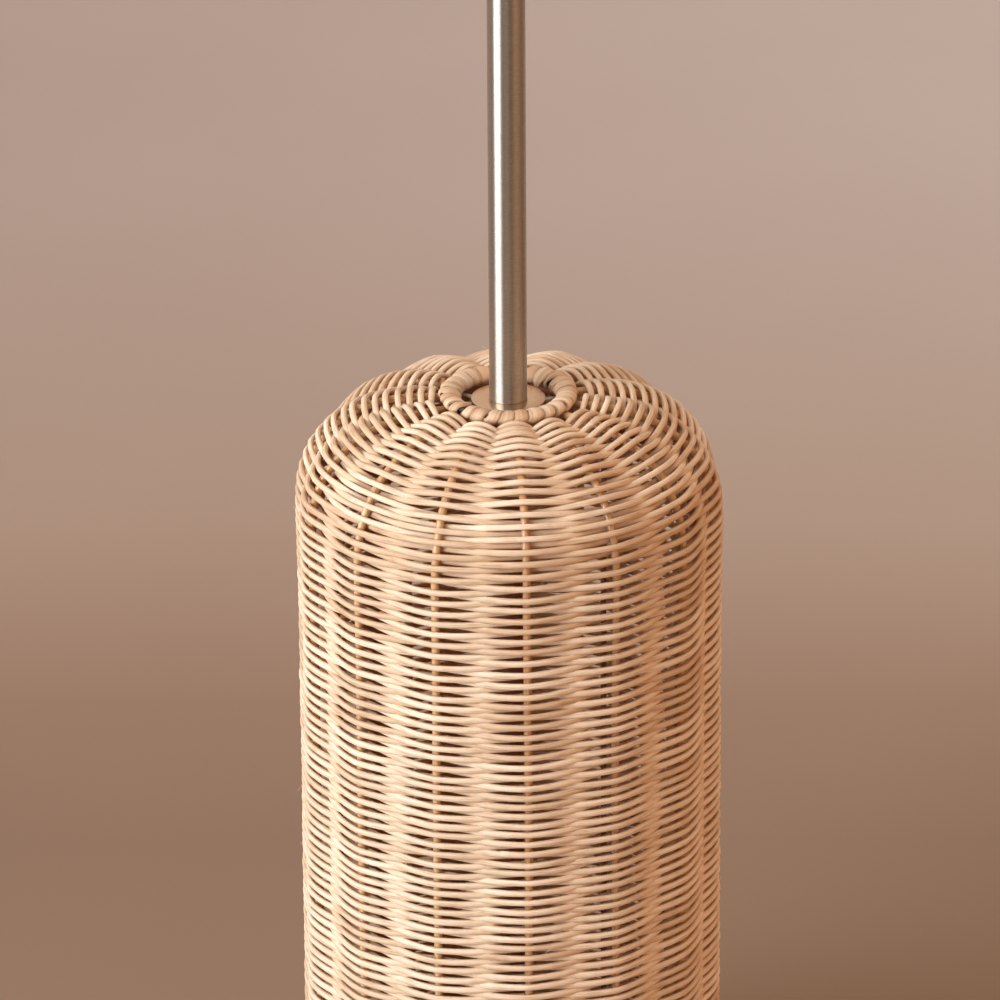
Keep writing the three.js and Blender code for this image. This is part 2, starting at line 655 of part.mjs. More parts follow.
// Lampholder
function holderCup() {
  const inner = CUP_RADIUS - CUP_WALL;
  const floor = cupBottom + CUP_WALL;
  const centre = CUP_RADIUS - CUP_CORNER;
  const profile = [
    [ROD_HOLE_RADIUS, cupBottom],
    ...quarter(centre, cupBottom + CUP_CORNER, CUP_CORNER, -Math.PI / 2, 0, CORNER_STEPS),
    [CUP_RADIUS, cupTop],
    [inner, cupTop],
    ...quarter(centre, cupBottom + CUP_CORNER, CUP_CORNER - CUP_WALL, 0, -Math.PI / 2, CORNER_STEPS),
    [ROD_HOLE_RADIUS, floor],
  ];
  return turned(profile);
}

function lampholder() {
  const barHeight = cupBottom + BAR_AXIS_HEIGHT;
  const boreEnd = CUP_RADIUS + CUT_OVERRUN;
  const bore = crossBar(BAR_RADIUS + RUNNING_GAP, -boreEnd, boreEnd, barHeight);
  piece("holder_cup", cut(holderCup(), bore), nickel);
  const nutBase = cupBottom + CUP_WALL + SEAT_GAP;
  piece("lock_nut", nut(nutBase, nutBase + LOCK_NUT_THICKNESS), zinc);
  const body = disc(SWITCH_BODY_RADIUS, cupBottom + SWITCH_BODY_BOTTOM, cupBottom + SWITCH_BODY_TOP);
  piece("switch_body", cut(body, bore), darkPlastic);
  const barEnd = CUP_RADIUS + BAR_STANDOUT;
  piece("switch_bar", crossBar(BAR_RADIUS, -barEnd, barEnd + BAR_TRAVEL, barHeight, BAR_CHAMFER), brass);

  const skirtTop = cupTop + SKIRT_HEIGHT;
  const skirt = [
    [SKIRT_BORE_RADIUS, insulatorBottom],
    [SPIGOT_RADIUS, insulatorBottom],
    [SPIGOT_RADIUS, flangeBottom],
    [FLANGE_RADIUS, flangeBottom],
    [FLANGE_RADIUS, flangeTop],
    [SKIRT_RADIUS, flangeTop],
    [SKIRT_RADIUS, skirtTop],
    [SKIRT_BORE_RADIUS, skirtTop],
  ];
  piece("holder_skirt", turned(skirt, FINE_STEPS), darkPlastic);
  piece("holder_insulator", disc(INSULATOR_RADIUS, insulatorBottom, insulatorTop), porcelain);
  const standing = insulatorTop + SEAT_GAP;
  piece("centre_contact", disc(CONTACT_RADIUS, standing, standing + CONTACT_HEIGHT, 0, SMALL_STEPS), brass);
  const shellRadius = SCREW_SHELL_BORE_RADIUS + SCREW_SHELL_WALL;
  const screwShell = tube(SCREW_SHELL_BORE_RADIUS, shellRadius, standing, standing + SCREW_SHELL_HEIGHT);
  piece("screw_shell", screwShell, brass);

  const ringBore = SKIRT_RADIUS + RUNNING_GAP;
  const ringTop = shadeRingBottom + SHADE_RING_HEIGHT;
  const ring = [
    [ringBore, shadeRingBottom],
    [SHADE_RING_RADIUS, shadeRingBottom],
    [SHADE_RING_RADIUS, shadeRingBottom + SHADE_RING_BEAD],
    [ringBore + SHADE_RING_WALL, shadeRingBottom + SHADE_RING_BEAD],
    [ringBore + SHADE_RING_WALL, ringTop],
    [ringBore, ringTop],
  ];
  piece("shade_ring", turned(ring, FINE_STEPS), darkPlastic);
}

// Shade
const shadeRadiusAt = (z) =>
  THREE.MathUtils.lerp(SHADE_BOTTOM_RADIUS, SHADE_TOP_RADIUS, (z - shadeBottom) / SHADE_HEIGHT);
const shadeWireRadiusAt = (z) => shadeRadiusAt(z) - SHADE_WALL - RUNNING_GAP - SHADE_WIRE_RADIUS;

function shade() {
  const skin = [
    [SHADE_BOTTOM_RADIUS - SHADE_WALL, shadeBottom],
    [SHADE_BOTTOM_RADIUS, shadeBottom],
    [SHADE_TOP_RADIUS, shadeTop],
    [SHADE_TOP_RADIUS - SHADE_WALL, shadeTop],
  ];
  piece("shade_skin", turned(skin, SHADE_STEPS), linen);
  const [low, high] = [shadeBottom + WIRE_INSET, shadeTop - WIRE_INSET];
  for (const [name, z] of [["shade_bottom_wire", low], ["shade_top_wire", high]])
    piece(name, hoop(shadeWireRadiusAt(z), SHADE_WIRE_RADIUS, z, WIRE_SIDES, SHADE_STEPS), whiteWire);

  const armHeight = fitterTop - SHADE_WIRE_RADIUS;
  const fitter = tube(SKIRT_RADIUS + RUNNING_GAP, FITTER_RADIUS, fitterBottom, fitterTop, FINE_STEPS);
  const start = FITTER_RADIUS - WELD_OVERLAP;
  const end = shadeWireRadiusAt(low) - SHADE_WIRE_RADIUS - 2 * SEAT_GAP;
  const shoulder = start + (end - start) * ARM_SHOULDER_SHARE;
  const arm = [
    [start, armHeight],
    [shoulder, armHeight],
    [end, low],
  ];
  const turns = Array.from({ length: ARM_COUNT }, (_, i) => radians(ARM_TURN + (360 / ARM_COUNT) * i));
  const arms = turns.map((angle) => wire(angle, arm, SHADE_WIRE_RADIUS));
  piece("shade_spider", joined(fitter, ...arms), whiteWire);
}

// Bulb
function bulb() {
  const tip = insulatorTop + SEAT_GAP + CONTACT_HEIGHT + SEAT_GAP;
  const capTop = tip + CAP_TIP_LENGTH + CAP_LENGTH;
  const cap = [
    [0, tip],
    [CAP_TIP_RADIUS, tip],
    [CAP_TIP_RADIUS, tip + CAP_TIP_LENGTH],
    [CAP_RADIUS, tip + CAP_TIP_LENGTH + CAP_CONE],
    [CAP_RADIUS, capTop],
    [0, capTop],
  ];
  piece("bulb_cap", turned(cap), brass);
  const collarBottom = capTop + SEAT_GAP;
  const collarTop = collarBottom + COLLAR_LENGTH;
  const collar = [
    [0, collarBottom],
    [COLLAR_FOOT_RADIUS, collarBottom],
    [COLLAR_FOOT_RADIUS, collarBottom + COLLAR_FOOT_LENGTH],
    [COLLAR_RADIUS, collarTop],
    [0, collarTop],
  ];
  piece("bulb_collar", turned(collar), opal);

  const centre = tip + BULB_LENGTH - BULB_RADIUS;
  const neckBottom = collarTop + SEAT_GAP;
  const neckAngle = Math.asin((neckBottom - centre) / BULB_RADIUS) * GLOBE_START_SHARE;
  const inner = quarter(0, centre, BULB_RADIUS - GLASS_WALL, Math.PI / 2, neckAngle, GLOBE_STEPS);
  const outer = quarter(0, centre, BULB_RADIUS, neckAngle, Math.PI / 2, GLOBE_STEPS);
  const globe = [
    ...inner,
    [GLASS_NECK_RADIUS - GLASS_WALL, neckBottom],
    [GLASS_NECK_RADIUS, neckBottom],
    ...outer,
  ];
  globe[0][0] = 0;
  globe[globe.length - 1][0] = 0;
  piece("bulb_globe", turned(globe), opal);
}

foot();
stack();
frame();
rims();
stakes();
weave();
pole();
lampholder();
shade();
bulb();

export default lamp;
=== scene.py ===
# %% [markdown]
# The rattan floor lamp, dressed in Blender.
# The frame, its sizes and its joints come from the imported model. This script gives every piece the surface
# that the real lamp has: woven cane, a wrapped rim, a brushed nickel pole, a linen shade and an opal bulb.
# Everything is in metres, with +Z up and the front towards -Y.
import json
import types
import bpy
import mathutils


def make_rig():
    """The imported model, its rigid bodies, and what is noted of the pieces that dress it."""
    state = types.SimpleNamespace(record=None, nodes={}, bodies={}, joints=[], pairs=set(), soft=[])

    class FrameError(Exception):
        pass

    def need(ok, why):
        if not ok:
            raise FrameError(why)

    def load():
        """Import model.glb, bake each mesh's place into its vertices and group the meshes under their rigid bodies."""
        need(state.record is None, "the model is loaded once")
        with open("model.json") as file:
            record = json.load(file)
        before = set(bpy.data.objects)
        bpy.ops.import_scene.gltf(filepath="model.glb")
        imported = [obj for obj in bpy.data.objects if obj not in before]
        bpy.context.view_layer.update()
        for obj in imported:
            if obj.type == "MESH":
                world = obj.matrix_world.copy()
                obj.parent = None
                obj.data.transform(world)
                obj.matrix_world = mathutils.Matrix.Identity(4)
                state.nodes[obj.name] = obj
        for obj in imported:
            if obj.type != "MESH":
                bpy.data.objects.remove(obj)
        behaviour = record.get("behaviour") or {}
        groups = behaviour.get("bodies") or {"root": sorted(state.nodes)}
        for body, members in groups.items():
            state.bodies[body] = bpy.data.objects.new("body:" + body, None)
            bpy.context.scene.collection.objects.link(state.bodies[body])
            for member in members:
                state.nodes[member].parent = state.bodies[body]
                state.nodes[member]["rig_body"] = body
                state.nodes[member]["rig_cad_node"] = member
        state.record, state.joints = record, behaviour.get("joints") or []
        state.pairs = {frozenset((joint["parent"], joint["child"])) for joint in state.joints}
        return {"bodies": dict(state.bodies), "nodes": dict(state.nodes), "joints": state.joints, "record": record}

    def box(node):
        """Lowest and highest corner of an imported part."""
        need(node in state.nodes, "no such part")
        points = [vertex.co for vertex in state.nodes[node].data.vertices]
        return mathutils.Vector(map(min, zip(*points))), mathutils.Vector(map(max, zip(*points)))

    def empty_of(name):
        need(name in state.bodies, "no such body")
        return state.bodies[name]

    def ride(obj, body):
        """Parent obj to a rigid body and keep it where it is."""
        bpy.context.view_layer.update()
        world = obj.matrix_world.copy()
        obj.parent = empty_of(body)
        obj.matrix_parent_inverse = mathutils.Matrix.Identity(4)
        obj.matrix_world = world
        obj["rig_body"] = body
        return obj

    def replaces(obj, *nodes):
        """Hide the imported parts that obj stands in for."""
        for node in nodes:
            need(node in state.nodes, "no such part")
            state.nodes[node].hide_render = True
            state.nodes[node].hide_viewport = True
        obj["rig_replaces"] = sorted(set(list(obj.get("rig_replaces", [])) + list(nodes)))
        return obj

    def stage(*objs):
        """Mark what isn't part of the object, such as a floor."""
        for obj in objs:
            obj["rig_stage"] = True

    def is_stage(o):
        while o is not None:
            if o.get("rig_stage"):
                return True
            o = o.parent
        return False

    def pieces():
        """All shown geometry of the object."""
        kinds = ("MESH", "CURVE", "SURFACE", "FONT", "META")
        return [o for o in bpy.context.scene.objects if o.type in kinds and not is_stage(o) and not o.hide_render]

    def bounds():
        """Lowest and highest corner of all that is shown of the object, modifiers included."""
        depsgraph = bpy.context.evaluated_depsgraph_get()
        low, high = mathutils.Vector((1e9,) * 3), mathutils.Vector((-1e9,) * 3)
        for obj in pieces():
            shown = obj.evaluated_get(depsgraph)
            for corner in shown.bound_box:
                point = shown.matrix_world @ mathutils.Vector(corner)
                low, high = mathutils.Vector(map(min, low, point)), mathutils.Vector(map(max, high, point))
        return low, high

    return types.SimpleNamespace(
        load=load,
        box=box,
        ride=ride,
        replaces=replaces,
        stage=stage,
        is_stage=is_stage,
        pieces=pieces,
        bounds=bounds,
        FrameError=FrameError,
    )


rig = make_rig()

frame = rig.load()
cad_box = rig.bounds()

import bmesh
import bpy
import json
import math
import numpy as np
from mathutils import Matrix, Vector

MM = 0.001
print("frame box", cad_box)

# %% [markdown]
# The photograph looks down at the basket's top from far away with a long lens, so the sides of the pole stay
# almost parallel. The camera stands 5 m off, 24 degrees above the horizon, and aims at the shoulder of the
# basket. A slight roll and sideways shift put the pole where the photograph has it.

# %% camera
CAMERA_DISTANCE = 5.0
CAMERA_PITCH = math.radians(23.91)
CAMERA_ROLL = math.radians(-0.33)
AIM_BELOW_SEAT = 65.1 * MM

seat_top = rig.box("seat_disc")[1][2]
aim = Vector((0, 0, seat_top - AIM_BELOW_SEAT))
camera = bpy.data.objects.new("camera", bpy.data.cameras.new("camera"))
bpy.context.scene.collection.objects.link(camera)
camera.location = aim + CAMERA_DISTANCE * Vector((0, -math.cos(CAMERA_PITCH), math.sin(CAMERA_PITCH)))
tilted = Matrix.Rotation(math.pi / 2 - CAMERA_PITCH, 4, "X")
rolled = Matrix.Rotation(CAMERA_ROLL, 4, "Z")
camera.rotation_euler = (tilted @ rolled).to_euler()
camera.data.sensor_width = 36
camera.data.lens = 309.5
camera.data.clip_end = 60
camera.data.shift_x = -0.0088
bpy.context.scene.camera = camera
print("camera height", round(camera.location.z, 3))

# %% [markdown]
# Every piece takes the same two steps. A bmesh has its doubles merged and its normals turned outwards, and
# becomes a smooth-shaded mesh. The mesh is linked as an object at the origin, takes its finish, rides on its
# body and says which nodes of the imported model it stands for.

# %% helpers for pieces
MERGE = 1e-6


def mesh_of(bm, name):
    bmesh.ops.remove_doubles(bm, verts=bm.verts, dist=MERGE)
    bmesh.ops.recalc_face_normals(bm, faces=bm.faces)
    for face in bm.faces:
        face.smooth = True
    mesh = bpy.data.meshes.new(name)
    bm.to_mesh(mesh)
    bm.free()
    return mesh


def finished(name, mesh, material, body="stand", stands_for=()):
    piece = bpy.data.objects.new(name, mesh)
    bpy.context.scene.collection.objects.link(piece)
    mesh.materials.append(material)
    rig.ride(piece, body)
    if stands_for:
        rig.replaces(piece, *stands_for)
    return piece


print("nodes to dress", len(frame["nodes"]))

# %% [markdown]
# Materials are built from nodes. Each one starts from the Principled shader with its plain numbers on its own
# sockets. A pattern reads the object's coordinates, or the piece's UV map where fibres follow the piece. The
# helpers below each add one node, or a few, and return its output, so a finish reads like a recipe.

# %% helpers for materials
BLACK = (0.0, 0.0, 0.0)
WHITE = (1.0, 1.0, 1.0)


def node(tree, kind, **settings):
    made = tree.nodes.new(kind)
    for key, value in settings.items():
        setattr(made, key, value)
    return made


def feed(tree, socket, value):
    """Links an input to another node's output, or sets it to a plain value."""
    if isinstance(value, bpy.types.NodeSocket):
        tree.links.new(value, socket)
    else:
        socket.default_value = value


def new_finish(name, **sockets):
    material = bpy.data.materials.new(name)
    material.use_nodes = True
    shader = material.node_tree.nodes["Principled BSDF"]
    for key, value in sockets.items():
        shader.inputs[key.replace("_", " ")].default_value = value
    return material, material.node_tree, shader


def coordinates(tree, source="Object", scale=(1, 1, 1)):
    where = node(tree, "ShaderNodeTexCoord")
    mapping = node(tree, "ShaderNodeMapping")
    feed(tree, mapping.inputs["Scale"], scale)
    feed(tree, mapping.inputs["Vector"], where.outputs[source])
    return mapping.outputs["Vector"]


def noise(tree, vector, scale, detail=4.0, rough=0.55):
    made = node(tree, "ShaderNodeTexNoise")
    for key, value in (("Vector", vector), ("Scale", scale), ("Detail", detail), ("Roughness", rough)):
        feed(tree, made.inputs[key], value)
    return made.outputs["Fac"]


def streaks(tree, scale, detail, rough=0.55, source="UV"):
    """Noise with a scale of its own along each axis, which draws it out into streaks."""
    return noise(tree, coordinates(tree, source, scale), 1.0, detail, rough)


def attribute(tree, name):
    return node(tree, "ShaderNodeAttribute", attribute_name=name, attribute_type="GEOMETRY").outputs["Fac"]


def ramp(tree, factor, *stops):
    """A colour for each value of the factor. A stop is a place and its colour."""
    made = node(tree, "ShaderNodeValToRGB")
    elements = made.color_ramp.elements
    while len(elements) < len(stops):
        elements.new(0.5)
    for element, (place, colour) in zip(elements, stops):
        element.position = place
        element.color = (*colour, 1)
    feed(tree, made.inputs["Fac"], factor)
    return made.outputs["Color"]


def blended(tree, factor, a, b, mode="MIX"):
    made = node(tree, "ShaderNodeMix", data_type="RGBA", blend_type=mode)
    feed(tree, made.inputs[0], factor)
    for socket, value in ((made.inputs[6], a), (made.inputs[7], b)):
        feed(tree, socket, (*value, 1) if isinstance(value, tuple) else value)
    return made.outputs[2]


def multiplied(tree, product, *colours):
    for colour in colours:
        product = blended(tree, 1.0, product, colour, "MULTIPLY")
    return product


def spread(tree, factor, low, high, start=0.0, end=1.0):
    """Brings a factor that runs from start to end between low and high."""
    made = node(tree, "ShaderNodeMapRange")
    settings = {"Value": factor, "From Min": start, "From Max": end, "To Min": low, "To Max": high}
    for key, value in settings.items():
        feed(tree, made.inputs[key], value)
    return made.outputs["Result"]


def calculated(tree, operation, *values):
    made = node(tree, "ShaderNodeMath", operation=operation)
    for socket, value in zip(made.inputs, values):
        feed(tree, socket, value)
    return made.outputs[0]


def bump(tree, shader, height, strength, depth):
    made = node(tree, "ShaderNodeBump")
    for key, value in (("Height", height), ("Strength", strength), ("Distance", depth)):
        feed(tree, made.inputs[key], value)
    feed(tree, shader.inputs["Normal"], made.outputs["Normal"])


print("Blender", bpy.app.version_string)

# %% [markdown]
# Cane is a climbing palm. Peeled, it is a bundle of straight fibres: long pale and dark streaks run along
# each rod, with a little scatter of brown flecks. The streaks need coordinates that follow the rod, so each
# strand carries a UV map, with its length along U and its girth along V. Two attributes vary it further: the
# tint gives each strand a tone of its own and paints shade, darker and warmer, on its inner side, and the groove
# mark paints shade along the edges where strips of the wrapping overlap.

# %% cane finishes
FLECKS = 0.35
# The colour of the shade painted into the grooves between the wrapping's strips.
PAINTED_GROOVE_SHADE = (0.13, 0.06, 0.03)


def cane_finish(name, light, middle, dark, rough, coat=0.0, streak=(60, 900), grooves=0.25 * MM):
    """The streak is the scale of the fibres along the rod and round it. The grooves are their depth."""
    material, tree, shader = new_finish(name, Roughness=rough, Specular_IOR_Level=0.35,
                                        Coat_Weight=coat, Coat_Roughness=0.2)
    fibres = streaks(tree, (*streak, 1), 6.0, 0.6)
    flecks = ramp(tree, streaks(tree, (350, 1400, 1), 2.0), (0.66, BLACK), (0.74, WHITE))
    body = ramp(tree, fibres, (0.28, dark), (0.5, middle), (0.72, light))
    patches = ramp(tree, streaks(tree, (9, 30, 1), 3.0), (0.3, (0.86, 0.79, 0.72)), (0.65, WHITE))
    # Tints below 0.1 come only from the strands' inner sides: the first stop is painted shade, darker and warmer. The
    # other stops give each strand a tone of its own.
    own = ramp(tree, attribute(tree, "tone_and_painted_shade"), (0.0, (0.86, 0.61, 0.39)), (0.1, (0.83, 0.71, 0.6)),
               (0.5, (0.97, 0.93, 0.87)), (1.0, (1.1, 1.08, 1.05)))
    colour = multiplied(tree, body, patches, own)
    colour = blended(tree, spread(tree, flecks, 0.0, FLECKS), colour, dark)
    # Painted shade: the edges of the wrapping's strips are darkened, most where an edge lies under the next turn.
    colour = blended(tree, attribute(tree, "painted_groove_shade"), colour, PAINTED_GROOVE_SHADE)
    feed(tree, shader.inputs["Base Color"], colour)
    feed(tree, shader.inputs["Roughness"], spread(tree, fibres, rough + 0.12, rough - 0.08))
    bump(tree, shader, fibres, 0.7, grooves)
    return material


cane = cane_finish("peeled_cane", (0.93, 0.81, 0.69), (0.88, 0.73, 0.58), (0.6, 0.41, 0.27), rough=0.7)
stake_skin = cane_finish("stake_skin", (0.84, 0.6, 0.36), (0.74, 0.49, 0.27), (0.46, 0.26, 0.13), rough=0.3,
                         coat=0.7)
strip = cane_finish("flat_cane_strip", (0.93, 0.78, 0.63), (0.82, 0.63, 0.47), (0.56, 0.38, 0.25), rough=0.55,
                    streak=(22, 700), grooves=0.4 * MM)
print("cane finishes", cane.name, stake_skin.name, strip.name)

# %% [markdown]
# The basket has an even number of upright stakes, so it is woven with two weavers that take turns: the first
# always passes in front of the even stakes, the second in front of the odd ones, and together they spiral
# upwards. First comes the line of the stakes: straight up, drawn in a little towards the foot, then over the
# shoulder to the rim. The dome is a superellipse, a curve between an ellipse and a box. It was fitted to the
# silhouette in the photograph.

# %% the line of the stakes
STAKES = 14
WEAVERS = 2
STAKE = 2.4 * MM
STRAND = 1.84 * MM
STRAND_FLAT = 1.6 * MM
STAKE_TURN = math.radians(4.9)
STAKE_CLEARANCE = 0.2 * MM
SWING = STAKE + STAKE_CLEARANCE + STRAND_FLAT
DOME_TOP = seat_top + 3.5 * MM
DOME_HEIGHT = 73.6 * MM
SHOULDER = DOME_TOP - DOME_HEIGHT
SHELL = 125.8 * MM
MOUTH = 40 * MM
MOUTH_TURN_IN = 4 * MM
SQUARENESS = 2.27
DRAWN_IN = 1 * MM
DRAWN_BELOW_SHOULDER = 70 * MM


def eased(t):
    """From 0 to 1 with a soft start and end."""
    return t * t * (3 - 2 * t)


def run_along(line):
    """The length of the way to each point of a line."""
    return np.concatenate([[0], np.cumsum(np.linalg.norm(np.diff(line, axis=0), axis=1))])


def shell_line():
    """The points of the line as radius and height, and the way out of the shell at each."""
    z = np.linspace(0, SHOULDER, 60)
    drawn = np.clip((SHOULDER - z) / DRAWN_BELOW_SHOULDER, 0, 1)
    wall = np.stack([SHELL - DRAWN_IN * eased(drawn), z], 1)
    angle = np.linspace(0, math.pi / 2, 241)[1:]
    x = np.cos(angle)
    y = np.sin(angle)
    size = (np.maximum(x, 0) ** SQUARENESS + y ** SQUARENESS) ** (-1 / SQUARENESS)
    dome = np.stack([MOUTH + (SHELL - MOUTH) * x * size, SHOULDER + DOME_HEIGHT * y * size], 1)
    line = np.vstack([wall, dome, [[MOUTH - MOUTH_TURN_IN, DOME_TOP]]])
    along = np.gradient(line, axis=0)
    along /= np.linalg.norm(along, axis=1)[:, None]
    out = np.stack([along[:, 1], -along[:, 0]], 1)
    return line - out * (SWING + STRAND_FLAT), out


stake_line, stake_out = shell_line()
stake_run = run_along(stake_line)


def at_run(s):
    """Radius, height and way out of the shell at a length along the stakes' line."""
    r = np.interp(s, stake_run, stake_line[:, 0])
    z = np.interp(s, stake_run, stake_line[:, 1])
    out_r = np.interp(s, stake_run, stake_out[:, 0])
    out_z = np.interp(s, stake_run, stake_out[:, 1])
    return r, z, out_r, out_z


def run_at_radius(radius):
    dome = stake_run > SHOULDER
    return float(np.interp(-radius, -stake_line[dome][:, 0], stake_run[dome]))


def stake_angle(k):
    return STAKE_TURN - math.pi / 2 + 2 * math.pi * np.asarray(k) / STAKES


def placed(r, angle, z):
    """Points from their radius, angle and height."""
    return np.stack([r * np.cos(angle), r * np.sin(angle), z], -1)


print("length of a stake", round(float(stake_run[-1]), 4))

# %% [markdown]
# A round rod is a curve with a bevel: Blender sweeps the circle along the points and keeps it from twisting.
# Several rods may share one mesh. Every rod closes with a point just past each end, and starts at another
# place of the cane's pattern, so no two look alike.

# %% helpers for round rods
PATTERN_ALONG = 3.7
PATTERN_ROUND = 0.31
PLAIN_TINT = 0.5


def rounded_ends(line, radius):
    """The line with a last point just past each end, where the strand closes."""
    radius = np.broadcast_to(radius, len(line)).astype(float)
    first = line[0] + (line[0] - line[1]) / np.linalg.norm(line[0] - line[1]) * 0.3 * radius[0]
    last = line[-1] + (line[-1] - line[-2]) / np.linalg.norm(line[-1] - line[-2]) * 0.3 * radius[-1]
    radius[[0, -1]] *= 0.93
    return np.vstack([[first], line, [last]]), np.concatenate([[0], radius, [0]])


def strand_uv(n, line, radius, sides):
    """UVs in metres: along strand n, and round it and back, so that the pattern has no seam."""
    run = run_along(line) + PATTERN_ALONG * n
    girth = np.abs(np.linspace(-1, 1, sides + 1)[:-1]) * math.pi * radius.max() + PATTERN_ROUND * n
    return np.stack([np.repeat(run, sides), np.tile(girth, len(line))], 1)


def add_attribute(mesh, name, values):
    mesh.attributes.new(name, "FLOAT", "POINT").data.foreach_set("value", values.astype(np.float32))


def loop_vertices(mesh):
    """The vertex of each face corner."""
    loops = np.zeros(len(mesh.loops), dtype=np.int32)
    mesh.loops.foreach_get("vertex_index", loops)
    return loops


def add_tint_and_uv(mesh, tone_and_painted_shade, uv):
    add_attribute(mesh, "tone_and_painted_shade", tone_and_painted_shade)
    layer = mesh.uv_layers[0] if mesh.uv_layers else mesh.uv_layers.new(name="UVMap")
    layer.data.foreach_set("uv", uv[loop_vertices(mesh)].astype(np.float32).ravel())


def cleaned(mesh, name):
    bm = bmesh.new()
    bm.from_mesh(mesh)
    bpy.data.meshes.remove(mesh)
    return mesh_of(bm, name)


def tubes(name, lines, radii, roundness=2, tints=None):
    """Round strands along lists of points, as one mesh."""
    curve = bpy.data.curves.new(name, "CURVE")
    curve.dimensions = "3D"
    curve.bevel_depth = 1.0
    curve.bevel_resolution = roundness
    curve.twist_mode = "MINIMUM"
    ended = [rounded_ends(line, radius) for line, radius in zip(lines, radii)]
    for line, radius in ended:
        spline = curve.splines.new("POLY")
        spline.points.add(len(line) - 1)
        spline.points.foreach_set("co", np.hstack([line, np.ones((len(line), 1))]).ravel())
        spline.points.foreach_set("radius", radius)
    holder = bpy.data.objects.new(name, curve)
    mesh = bpy.data.meshes.new_from_object(holder)
    bpy.data.objects.remove(holder)
    bpy.data.curves.remove(curve)
    sides = len(mesh.vertices) // sum(len(line) for line, _ in ended)
    tints = tints or [PLAIN_TINT] * len(lines)
    tone_and_painted_shade = np.concatenate([np.full(len(line) * sides, own) for (line, _), own in zip(ended, tints)])
    uv = np.vstack([strand_uv(n, line, radius, sides) for n, (line, radius) in enumerate(ended)])
    add_tint_and_uv(mesh, tone_and_painted_shade, uv)
    return cleaned(mesh, name)


print("pattern starts", PATTERN_ALONG, "m along and", PATTERN_ROUND, "m round for each rod")

# %% [markdown]
# The stakes are rods of round cane that keep their glossy skin. They aren't perfectly straight, so each one
# wanders by a few tenths of a millimetre, and each has its own thickness and tint.

# %% stakes
STAKE_WANDER = 0.3 * MM

rng = np.random.default_rng(11)
foot_hoop_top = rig.box("foot_hoop")[1][2]
stake_foot = foot_hoop_top - 1 * MM
stake_head = run_at_radius(37 * MM)
for k in range(STAKES):
    s = np.linspace(stake_foot, stake_head, 64)
    r, z = at_run(s)[:2]
    wander = STAKE_WANDER * np.sin(s * (17 + 3 * rng.random()) + 6 * rng.random())
    line = placed(r, stake_angle(k) + wander / np.maximum(r, 0.03), z)
    thickness = STAKE * (0.96 + 0.06 * rng.random())
    mesh = tubes("stake_rod", [line], [thickness], 4, [0.1 + 0.9 * rng.random()])
    finished(f"stake_rod_{k + 1}", mesh, stake_skin, stands_for=[f"stake_{k + 1}"])
print("stakes", STAKES)

# %% [markdown]
# The weavers are round cane of 3.5 mm. The lower rows are beaten down harder than the upper ones, so the
# height of a row changes up the wall. The heights were fitted to the crossings in the photograph, and the
# number of rows comes out even, so that both weavers end at the rim.

# %% rows of the weave
ROW_PLACES = np.array([0, 300, 380, 460, 510, 540]) * MM
ROW_HEIGHTS = np.array([3.06, 3.1, 3.38, 3.42, 3.3, 3.2]) * MM

weave_foot = foot_hoop_top + STRAND
weave_head = run_at_radius(43 * MM)
run_samples = np.linspace(weave_foot, weave_head, 800)
row_samples = np.cumsum(np.gradient(run_samples) / np.interp(run_samples, ROW_PLACES, ROW_HEIGHTS))
ROWS = WEAVERS * round(row_samples[-1] / WEAVERS)
row_samples = (row_samples - row_samples[0]) * ROWS / (row_samples[-1] - row_samples[0])
print("rows", ROWS)

# %% [markdown]
# A strand of the weave is squeezed between its neighbours into a flat oval that lies on the shell. A curve's
# bevel can't keep such an oval turned to the shell, so its rings are laid out here: each one stands across the
# strand, with its flat side facing out. The inner side gets a low tint, which the finish paints as shade.

# %% helper for flat strands
STRAND_SIDES = 12
FULLNESS = 0.8


def powered(value, power):
    """A power that keeps the sign. Below 1 it fills out a sine: flatter tops and steeper flanks."""
    return np.sign(value) * np.abs(value) ** power


def strands(name, lines, outs, radii, tints):
    """Flat strands along lists of points, as one mesh. Each point has its way out of the shell."""
    sides = STRAND_SIDES
    turn = 2 * math.pi * np.arange(sides) / sides
    wide = powered(np.sin(turn), FULLNESS)[None, :, None]
    deep = powered(np.cos(turn), FULLNESS)[None, :, None] * STRAND_FLAT / STRAND
    # Painted shade mask: 1 on the strand's outer side, falling to 0 on its inner side, where the tint paints shade.
    free_of_painted_shade = np.clip(0.85 + 1.5 * np.cos(turn), 0, 1)
    points, faces, uv, tone_and_painted_shade = [], [], [], []
    count = 0
    for n, (line, out, radius) in enumerate(zip(lines, outs, radii)):
        line, radius = rounded_ends(line, radius)
        out = np.vstack([out[:1], out, out[-1:]])
        along = np.gradient(line, axis=0)
        across = np.cross(along, out)
        across /= np.linalg.norm(across, axis=1)[:, None]
        out = np.cross(across, along)
        out /= np.linalg.norm(out, axis=1)[:, None]
        oval = wide * across[:, None, :] + deep * out[:, None, :]
        points.append((line[:, None, :] + radius[:, None, None] * oval).reshape(-1, 3))
        row, side = np.meshgrid(np.arange(len(line) - 1) * sides, np.arange(sides), indexing="ij")
        next_side = (side + 1) % sides
        quads = np.stack([row + side, row + next_side, row + sides + next_side, row + sides + side], 2)
        faces.append(quads.reshape(-1, 4) + count)
        count += len(line) * sides
        uv.append(strand_uv(n, line, radius, sides))
        tone_and_painted_shade.append(np.tile(tints[n] * free_of_painted_shade, len(line)))
    mesh = bpy.data.meshes.new(name)
    mesh.from_pydata(np.concatenate(points).tolist(), [], np.concatenate(faces).tolist())
    add_tint_and_uv(mesh, np.concatenate(tone_and_painted_shade), np.concatenate(uv))
    return cleaned(mesh, name)


